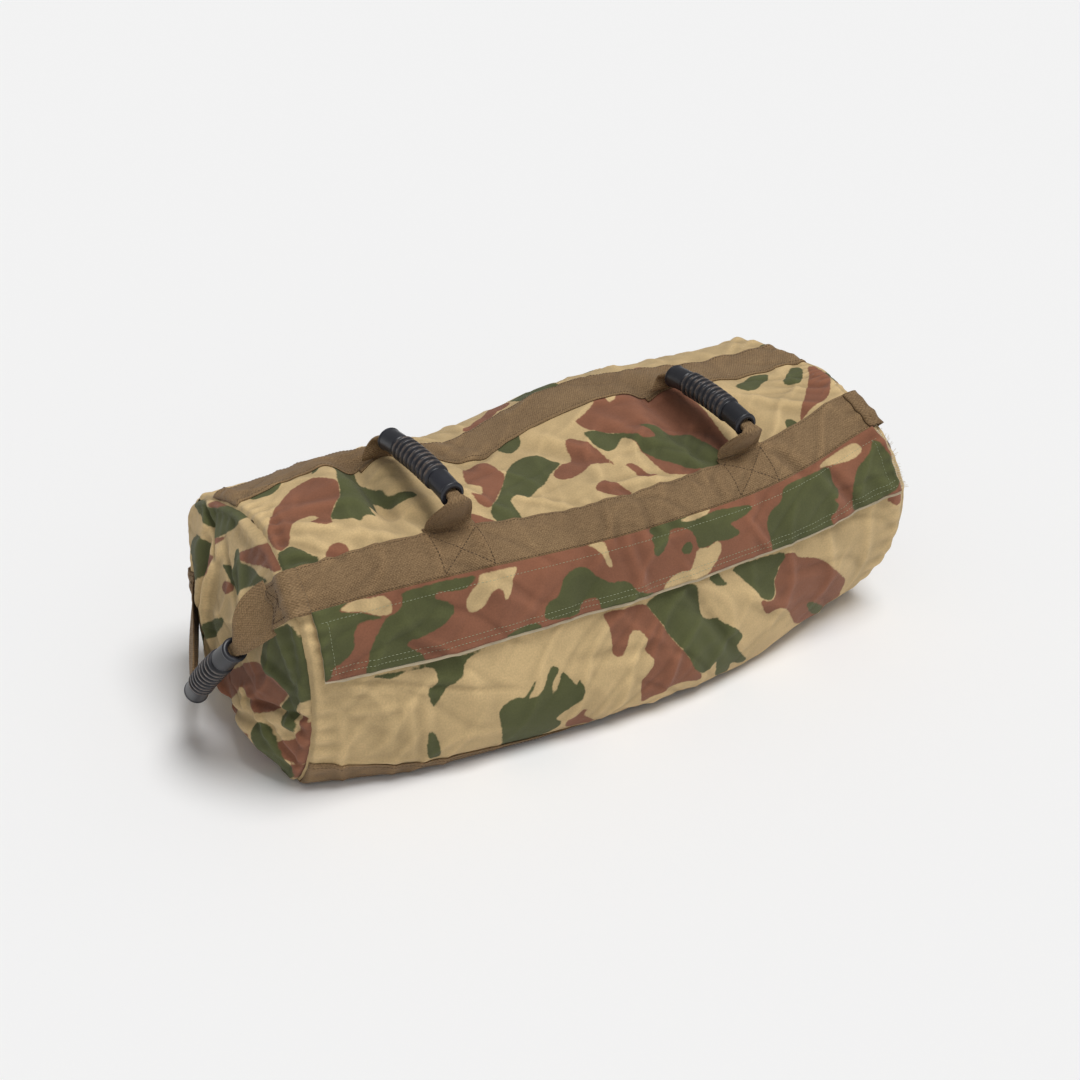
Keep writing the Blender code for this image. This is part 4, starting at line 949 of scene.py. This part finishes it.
# The way from the flap's sewn seam to its free edge is worked out as the best straight fit
# through both edges, and the flap and the pieces on it have their placings baked into their points.
edge_x = np.linspace(-flap_half, flap_half, 40)
seam_edge = cloth(edge_x, flap_top + 0.002)
both_edges = np.concatenate([seam_edge, cloth(edge_x, flap_low)])
aims = np.repeat([0.0, 1.0], 40)
*slope, level = np.linalg.lstsq(np.c_[both_edges, np.ones(80)], aims, rcond=None)[0]
slope = np.array(slope)
on_flap = [lining, hook, flap_seams, frayed]
for piece in [flap, *on_flap]:
    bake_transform(piece)

# Zip under the flap: two brown woven tapes with moulded interlocking teeth, metal stops at the
# ends, and a slider with a pull tab, parked at the right.
zip_arc = 0.1758
tape_brown = plain_cloth("brown_zip_tape", (104, 86, 62), 0.0011, 0.8)
for name, low, high in (("upper", -0.014, -0.0012), ("lower", 0.0012, 0.014)):
    tape_arc = np.linspace(zip_arc + low, zip_arc + high, 6)
    tape = ribbon("zip_%s_tape" % name, np.linspace(-0.28, 0.28, 200), tape_arc, 0.0002, 0.0007, 0.0002)
    dress(tape, tape_brown, "bag", "zip_tape_" + name)


def plain_finish(name, shade, rough, metal=0.0, scratch=40.0, relief=0.0002):
    """Moulded or pressed finish: one colour with faint cloudy wear and a fine uneven surface."""
    material, tree, place = new_finish(name, Roughness=rough, Metallic=metal)
    share = carried(tree, noise(tree, place, scratch, 5.0), 0.35, 0.65)
    grain = noise(tree, place, 1500.0, 2.0)
    cover(tree, between(tree, share, shade, 0.8, 1.1), grain, strength=0.25, distance=relief)
    return material


def row_of_teeth(name, sign):
    """Teeth every 3 mm, each a small waisted block reaching just past the zip's middle; the
    other tape's teeth stand half a pitch along."""
    at = np.arange(-0.262, 0.2505, 0.003) + (0.00075 if sign > 0 else -0.00075)
    outline = np.array([
        (-0.5, -1.7), (0.5, -1.7), (0.42, -0.2), (0.6, 0.5),
        (0.3, 0.85), (-0.3, 0.85), (-0.6, 0.5), (-0.42, -0.2),
    ]) / 1000
    points = []
    for lift, spread in ((0.0006, 1.0), (0.0021, 0.85)):
        x = at[:, None] + outline[:, 0] * spread
        points.append(cloth(x, zip_arc - sign * outline[:, 1] * spread, lift))
    low = np.arange(8)
    after = (low + 1) % 8
    sides = np.stack([low, after, after + 8, low + 8], 1)
    starts = 16 * np.arange(len(at))[:, None, None]
    ends = np.stack([low[::-1], low + 8])
    faces = [(starts + part[:, ::sign]).reshape(-1, part.shape[1]).tolist() for part in (ends, sides)]
    mesh = bpy.data.meshes.new(name)
    mesh.from_pydata(np.concatenate(points, 1).reshape(-1, 3).tolist(), [], faces[0] + faces[1])
    return placed(name, mesh)


tooth_brown = plain_finish("brown_moulded_teeth", (70, 56, 42), rough=0.4)
for name, sign in (("upper", 1), ("lower", -1)):
    teeth = row_of_teeth("zip_%s_teeth" % name, sign)
    dress(teeth, tooth_brown, "bag", "zip_teeth_" + name)


def pressed_plate(name, x, arc, lift, long, wide, thick, nose=0.0, hole=0.0):
    """Small pressed plate lying over the cloth: a rounded-oblong outline, narrower to its nose,
    domed by a few even layers from its lower rim over its top."""
    spin = np.linspace(0, 2 * np.pi, 36, endpoint=False)
    u = squared(np.cos(spin), 0.6)
    v = squared(np.sin(spin), 0.6) * (1 - nose * 0.5 * (1 + u))
    layers = [(0.9, 0.0), (1.0, 0.12), (1.0, 0.8), (0.93, 1.0), (hole or 0.05, 1.0)]
    layers += [(hole or 0.05, 0.0)] if hole else []
    grid = []
    for spread, high in layers:
        along_x = x + u * spread * long / 2
        along_arc = arc + v * spread * wide / 2
        grid.append(cloth(along_x, along_arc, lift + high * thick))
    return cloth_mesh(name, np.array(grid), wrap=True, caps=0 if hole else 2, ring=bool(hole), smooth=False)


zip_metal = plain_finish("dark_zip_metal", (96, 86, 70), rough=0.35, metal=1.0, scratch=90.0)
stop_size = {"lift": 0.0009, "long": 0.0032, "wide": 0.0088, "thick": 0.0022}
slider_size = {"lift": 0.0022, "long": 0.0125, "wide": 0.0120, "thick": 0.0016}
pull_size = {"lift": 0.0026, "long": 0.0270, "wide": 0.0075, "thick": 0.0010}
for name, x in (("left", -0.2685), ("right", 0.2685)):
    stop = pressed_plate("zip_%s_end_stop" % name, x, zip_arc, **stop_size)
    dress(stop, zip_metal, "bag", "zip_stop_" + name)
slider = pressed_plate("zip_slider_body", 0.2600, zip_arc, **slider_size, nose=-0.35)
dress(slider, zip_metal, "slider", "zip_slider")
pull = pressed_plate("zip_pull_tab", 0.2465, zip_arc, **pull_size, nose=0.2, hole=0.35)
dress(pull, zip_metal, "slider", "zip_pull")

# Handles: at each handle a length of the webbing leaves the straps, is folded and passes
# through a black rubber grip with nine ribs between smooth collars, and comes back to the bag.
grip_length = 0.120
grip_bow = 0.005
grip_radius = 0.0123
rib_root = 0.0094
rib_zone = 0.066
rib_count = 9
collar_radius = 0.0108
lip_radius = 0.0116
bore_radius = 0.0070
tab_width = 0.047
fold_width = 0.0127
fold_thick = 0.0066
webbing_thick = 0.0015


def bowed(centre, axis, bow, along):
    """Point along a grip's middle line, which dips at both ends by b (2 a / L)^2."""
    along = np.asarray(along, float)[..., None]
    return centre + along * axis - grip_bow * (2 * along / grip_length) ** 2 * bow


def moulded_grip(name, centre, axis, bow):
    """Tube turned about the bowed line: lips and collars at the ends, and between them ribs
    whose height is a sine cut off flat above and below; its inside is the plain bore."""
    along = np.linspace(-0.5, 0.5, 231) * grip_length
    from_end = grip_length / 2 - np.abs(along)
    phase = (along + rib_zone / 2) / (rib_zone / rib_count) * 2 * np.pi
    rib = np.clip(0.5 - 0.85 * np.cos(phase), 0, 1)
    rib = rib * rib * (3 - 2 * rib)
    radius = np.where(np.abs(along) < rib_zone / 2, rib_root + (grip_radius - rib_root) * rib, collar_radius)
    groove = np.exp(-(((np.abs(along) - rib_zone / 2 - 0.0006) / 0.0009) ** 2))
    radius = radius - (collar_radius - rib_root) * groove * (np.abs(along) > rib_zone / 2)
    lip = np.clip(1 - np.abs(from_end - 0.0016) / 0.0016, 0, 1) ** 0.5
    radius = radius + (lip_radius - collar_radius) * lip - 0.0008 * np.clip(1 - from_end / 0.0008, 0, 1)
    inner = np.linspace(0.5, -0.5, 24) * grip_length
    run = np.concatenate([along, inner])
    radius = np.concatenate([radius, np.full(24, bore_radius)])
    spin = np.linspace(0, 2 * np.pi, 44, endpoint=False)
    spokes = np.cos(spin)[:, None] * bow + np.sin(spin)[:, None] * np.cross(axis, bow)
    grid = bowed(centre, axis, bow, run)[:, None] + radius[:, None, None] * spokes
    worn = np.clip((radius - rib_root) / (grip_radius - rib_root), 0, 1)
    worn = worn * (np.abs(run) < rib_zone / 2 + 0.002)
    uv = np.stack([np.repeat(np.append(values, values[0])[:, None], 45, 1) for values in (run, worn)], -1)
    return cloth_mesh(name, grid, wrap=True, ring=True, uv=uv, flip=True)


def folded_band(name, path, width, thick, across, cup):
    """Webbing carried along a path: a flat oval section whose width and thickness change, its
    edges bent over where it gathers, turned so that it stays square to the path."""
    run = np.gradient(path, axis=0)
    run /= np.linalg.norm(run, axis=1, keepdims=True)
    wide = across - (across * run).sum(1, keepdims=True) * run
    wide /= np.linalg.norm(wide, axis=1, keepdims=True)
    up = np.cross(run, wide)
    spin = np.linspace(0, 2 * np.pi, 40, endpoint=False)
    a = squared(np.cos(spin), 0.45)
    b = squared(np.sin(spin), 0.8)
    bend = cup[:, None] * (a**2 - 0.3)
    ridge = 0.0009 * np.sin(a * 9 + 1) * (cup[:, None] / max(np.abs(cup).max(), 1e-6))
    sideways = (width[:, None] / 2 * a)[..., None] * wide[:, None]
    upwards = (thick[:, None] / 2 * b + bend + ridge)[..., None] * up[:, None]
    length, edge = spread_over(lengths_along(path), np.append(a, a[0]))
    uv = np.stack([length, edge * width[:, None] / 2], -1)
    grid = path[:, None] + sideways + upwards
    return cloth_mesh(name, grid, wrap=True, caps=2, uv=uv)


def curve_between(start, lead, arrive, end, count):
    """Points of the cubic u^3 s + 3 u^2 t l + 3 u t^2 a + t^3 e, with u = 1 - t."""
    t = np.linspace(0, 1, count)[:, None]
    u = 1 - t
    return u**3 * start + 3 * u**2 * t * lead + 3 * u * t**2 * arrive + t**3 * end


def dusty_rubber():
    """Black rubber with dust and wear in patches on the tops of the ribs."""
    material = plain_finish("black_grip_rubber", (36, 37, 44), rough=0.40, scratch=30.0)
    tree = material.node_tree
    shader = tree.nodes["Principled BSDF"]
    uv = node(tree, "ShaderNodeUVMap", uv_map="cloth").outputs[0]
    rib_top = node(tree, "ShaderNodeSeparateXYZ", {0: uv}).outputs[1]
    place = node(tree, "ShaderNodeTexCoord").outputs["Object"]
    dust = carried(tree, noise(tree, place, 260.0, 4.0), 0.4, 0.62, 0.1, 0.85)
    dusty = calc(tree, "MULTIPLY", calc(tree, "POWER", rib_top, 6.0), dust)
    plain_rubber = shader.inputs["Base Color"].links[0].from_socket
    cover(tree, mixed(tree, dusty, plain_rubber, tone(104, 90, 80)))
    shader.inputs["Specular IOR Level"].default_value = 0.55
    return material


rubber = dusty_rubber()


def fit_handle(name, starts, leads, across, centre, axis, bow):
    """Makes a handle's two webbing legs, the folded run through its grip, and the grip."""
    reach = grip_length / 2 + 0.004
    for leg, start, lead, wide, sign in zip(("front", "back"), starts, leads, across, (-1, 1)):
        mouth = bowed(centre, axis, bow, sign * reach)
        deep = bowed(centre, axis, bow, sign * (reach - 0.012))
        path = curve_between(start, start + lead, mouth + sign * axis * 0.014, mouth, 44)
        path = np.concatenate([path, curve_between(mouth, mouth, deep, deep, 8)[1:]])
        share = np.clip(np.linspace(0, 1.18, len(path)), 0, 1)
        widths = (tab_width, tab_width, 0.037, 0.025, 0.0190, fold_width)
        width = np.interp(share, (0, 0.34, 0.58, 0.80, 0.95, 1), widths)
        width = np.convolve(np.pad(width, 3, mode="edge"), np.ones(7) / 7, mode="valid")
        width[-8:] = np.minimum(width[-8:], fold_width)
        thick = np.interp(share, (0, 0.35, 0.85, 1), (webbing_thick, webbing_thick, 0.0045, fold_thick))
        cup = 0.0045 * np.sin(np.pi * share) ** 2 * -sign
        piece = folded_band("%s_%s_webbing" % (name, leg), path, width, thick, wide, cup)
        dress(piece, webbing, None, name + "_webbing" if sign < 0 else None)
        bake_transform(piece)
    through = bowed(centre, axis, bow, np.linspace(-reach + 0.008, reach - 0.008, 30))
    width = np.full(30, fold_width)
    thick = np.full(30, fold_thick)
    inner = folded_band(name + "_folded_webbing", through, width, thick, across[0], np.zeros(30))
    dress(inner, webbing, name)
    grip = moulded_grip(name + "_rubber_grip", centre, axis, bow)
    dress(grip, rubber, name, name + "_grip")


def sewn_tab(name, leg, points, uv):
    """Short flat end of handle webbing sewn to the bag: a plate one webbing thick over a grid."""
    piece = cloth_mesh("%s_%s_sewn_end" % (name, leg), points, wrap=True, caps=2, uv=uv, flip=True)
    dress(piece, webbing, "bag", "%s_%s_tab" % (name, leg))


rightwards, backwards, upwards = np.eye(3)
for name, x, grip_shift in (
    ("left_top_handle", -handle_x, (-0.003, 0.007, 0.003)),
    ("right_top_handle", handle_x, (0.0, 0.0, -0.001)),
):
    tab_x = np.linspace(x - tab_width / 2, x + tab_width / 2, 24)
    for leg, edge, inwards in (("front", 0.0952, -1), ("back", -0.0352, 1)):
        arcs = np.linspace(edge, edge + inwards * 0.006, 6)
        grid_x, grid_arc = spread_over(tab_x, np.concatenate([arcs, arcs[::-1]]))
        points = cloth(grid_x, grid_arc, strap_lift + np.repeat([webbing_thick, 0.0], 6))
        sewn_tab(name, leg, points[::-inwards], looped(grid_arc, grid_x))
    feet = cloth(np.full(2, x), np.array([0.0935, -0.0335]), 0.0012)
    leads = cloth(np.full(2, x), np.array([0.082, -0.022]), 0.0035) - feet
    top = 0.220 * (1 - slump * x / body_length) - 0.0009
    centre = np.array([x, -0.045, top + 0.035]) + grip_shift
    fit_handle(name, feet, leads, (rightwards, -rightwards), centre, backwards, upwards)

end_tilt = math.radians(48)
end_lean = math.radians(7)
half_arc = np.linspace(-tab_width / 2, tab_width / 2, 20)
box_corners = np.array([(0.965, -0.019), (0.965, 0.019), (0.825, -0.019), (0.825, 0.019)])
rows = []
for name, side in (("left_end_handle", -1), ("right_end_handle", 1)):
    starts, leads, wides = [], [], []
    for leg, middle_arc in (("front", 0.120), ("back", -0.250)):
        tab_arc = middle_arc + half_arc
        grid_arc, grid_share = spread_over(tab_arc, np.linspace(0.93, 0.80, 12))
        faces = []
        for height in (0.0019, 0.0004):
            flat = end_cloth(side, (grid_arc - middle_arc) / grid_share + middle_arc, grid_share, height)
            on_strap = cloth(np.full(20, side * 0.289), tab_arc, strap_thickness + 0.0002 + height)
            at_edge = cloth(np.full(20, side * 0.293), tab_arc, 0.006 + height)
            corner = at_edge * (0, 1, 1) + flat[:, 0] * (1, 0, 0) + (side * 0.004, 0, 0)
            t = np.linspace(0, 1, 11)[:-1, None, None]
            bend = (1 - t) ** 2 * on_strap + 2 * t * (1 - t) * corner + t**2 * flat[:, 0]
            faces.append(np.concatenate([bend.transpose(1, 0, 2), flat], 1))
        points = np.concatenate([faces[0], faces[1][:, ::-1]], 1)
        arc_there, run = spread_over(tab_arc, np.abs(np.linspace(-0.040, 0.040, 45)))
        sewn_tab(name, leg, points[::side], np.stack([run, arc_there], -1))
        for one, two in ((0, 1), (2, 3), (0, 2), (1, 3), (0, 3), (1, 2)):
            share, arc = np.linspace(box_corners[one], box_corners[two], 60).T
            line = end_cloth(side, middle_arc + arc / share, share, 0.0020)
            rows.append(stitch_row(line, np.tile(side * rightwards, (60, 1)), **heavy))
        start = end_cloth(side, middle_arc, 0.805, 0.0012)
        across = end_cloth(side, middle_arc + 0.01, 0.8) - end_cloth(side, middle_arc - 0.01, 0.8)
        starts.append(start)
        leads.append(end_cloth(side, middle_arc, 0.70, 0.006) - start)
        wides.append(-side * across / np.linalg.norm(across))
    centre = np.array([side * (half + 0.063), -0.024, 0.101])
    flat_part = math.cos(end_tilt)
    axis = np.array([side * math.sin(end_lean) * flat_part, flat_part, -math.sin(end_tilt)])
    axis /= np.linalg.norm(axis)
    bow = side * (rightwards - axis[0] * axis)
    bow /= np.linalg.norm(bow)
    fit_handle(name, starts, leads, wides, centre, axis, bow)
sew("end_handle_stitching", rows, "bag", brown_thread)

# Filling: three cloth sacks, each filled to three quarters with dry sand, gathered and tied.
sack_cloth = plain_cloth("undyed_sack_cloth", (178, 168, 146), pitch=0.0010)
sand = plain_finish("dry_sand", (186, 160, 116), rough=0.95, scratch=500.0, relief=0.0006)
cord_white = plain_cloth("white_tie_cord", (206, 202, 190), pitch=0.0012)
sack_length = 0.1697


def sack_shape(x0, x, arc, inset, neck):
    """Closed sack inside the bag: the settled section drawn towards its middle by a share that
    is round at the closed end, full along the body and narrows to a round tied neck. It sinks
    with the folds of the body cloth."""
    middle = np.array([0.0, 0.0, 0.092])
    t = (x - x0) / sack_length
    full = inset * np.clip(1 - ((0.13 - t) / 0.13).clip(0, 1) ** 2.4, 0, 1) ** 0.5
    to_neck = neck * np.clip((t - 0.70) / 0.17, 0, 1)
    to_neck = to_neck * to_neck * (3 - 2 * to_neck)
    away = settled(x, arc) - middle
    away[..., 0] = 0
    direction = away / np.linalg.norm(away, axis=-1, keepdims=True)
    pleats = np.sin(arc / girth * 2 * np.pi * 26) * np.sin(np.pi * np.clip((t - 0.55) / 0.45, 0, 1))
    radius = 0.0215 + 0.006 * np.clip((t - 0.91) / 0.09, 0, 1)
    spread = (1 - to_neck)[..., None] * away * full[..., None] + (to_neck * radius)[..., None] * direction
    sunk = np.minimum(cloth_relief(x, arc), 0) * (1 - to_neck) * full / inset
    point = middle + spread * (1 + 0.10 * neck * pleats)[..., None] + sunk[..., None] * direction
    point[..., 0] = x
    return point


for number, x0 in ((1, -0.282), (2, -0.094), (3, 0.094)):
    sack_x = x0 + sack_length * np.linspace(0.002, 1, 90)
    x, arc = spread_over(sack_x, np.linspace(0, girth, 160, endpoint=False))
    sack = cloth_mesh("cloth_sack_%d" % number, sack_shape(x0, x, arc, 0.90, True), wrap=True, caps=2)
    dress(sack, sack_cloth, "bag", "filler_sack_%d" % number)
    heap_x = x0 + 0.004 + 0.120 * np.linspace(0.01, 0.97, 50)
    x, arc = spread_over(heap_x, np.linspace(0, girth, 110, endpoint=False))
    heap = sack_shape(x0 + 0.003, x, arc, 0.87, False)
    level = 0.150 + 0.004 * np.sin(heap[..., 0] * 70) + 0.003 * np.sin(heap[..., 1] * 60 + number)
    heap[..., 2] = np.minimum(heap[..., 2], level)
    close = 0.25 * np.clip((x - x0 - 0.100) / 0.022, 0, 1)[..., None] ** 3
    heap = heap * (1 - close) + close * (heap * (1, 0, 0) + (0, 0, 0.08))
    sand_heap = cloth_mesh("sand_heap_%d" % number, heap, wrap=True, caps=2)
    dress(sand_heap, sand, "bag", "sand_fill_%d" % number)
    spin, turn = spread_over(np.linspace(0, 4 * np.pi, 120), np.linspace(0, 2 * np.pi, 12, endpoint=False))
    ring_radius = 0.0236 + 0.0017 * np.cos(turn)
    wound_x = x0 + 0.1542 + 0.0016 * np.sin(turn) + 0.0034 * (spin / (4 * np.pi) - 0.5)
    wound = np.stack([wound_x, ring_radius * np.sin(spin), 0.092 + ring_radius * np.cos(spin)], -1)
    tie = cloth_mesh("neck_cord_%d" % number, wound, wrap=True, caps=2, flip=True)
    dress(tie, cord_white, "bag", "neck_tie_%d" % number)

# Studio: a plain pale table and background, a wide soft lamp overhead, a weaker and wider one
# in front, and even light from all round.
floor_points = np.array([[[-6, -6, 0], [-6, 6, 0]], [[6, -6, 0], [6, 6, 0]]], float)
floor = cloth_mesh("studio_floor", floor_points, flip=True)
plain_white = {"Base_Color": tone(243, 243, 243), "Roughness": 1.0, "Specular_IOR_Level": 0.0}
floor.data.materials.append(new_finish("studio_floor", **plain_white)[0])
for lamp_name, strength, spread, direction in (
    ("soft_key", 2.2, 30, (0.17, -0.22, 0.96)),
    ("front_fill", 0.38, 80, (-0.04, -0.90, 0.42)),
):
    lamp_data = bpy.data.lights.new(lamp_name, "SUN")
    lamp_data.energy = strength
    lamp_data.angle = math.radians(spread)
    lamp = placed(lamp_name, lamp_data)
    lamp.rotation_euler = Vector(direction).to_track_quat("Z", "Y").to_euler()
world = bpy.data.worlds.new("studio_light")
world.use_nodes = True
world.node_tree.nodes["Background"].inputs[0].default_value = (1, 1, 1, 1)
world.node_tree.nodes["Background"].inputs[1].default_value = 0.27
bpy.context.scene.world = world
bpy.context.scene.view_settings.view_transform = "Standard"
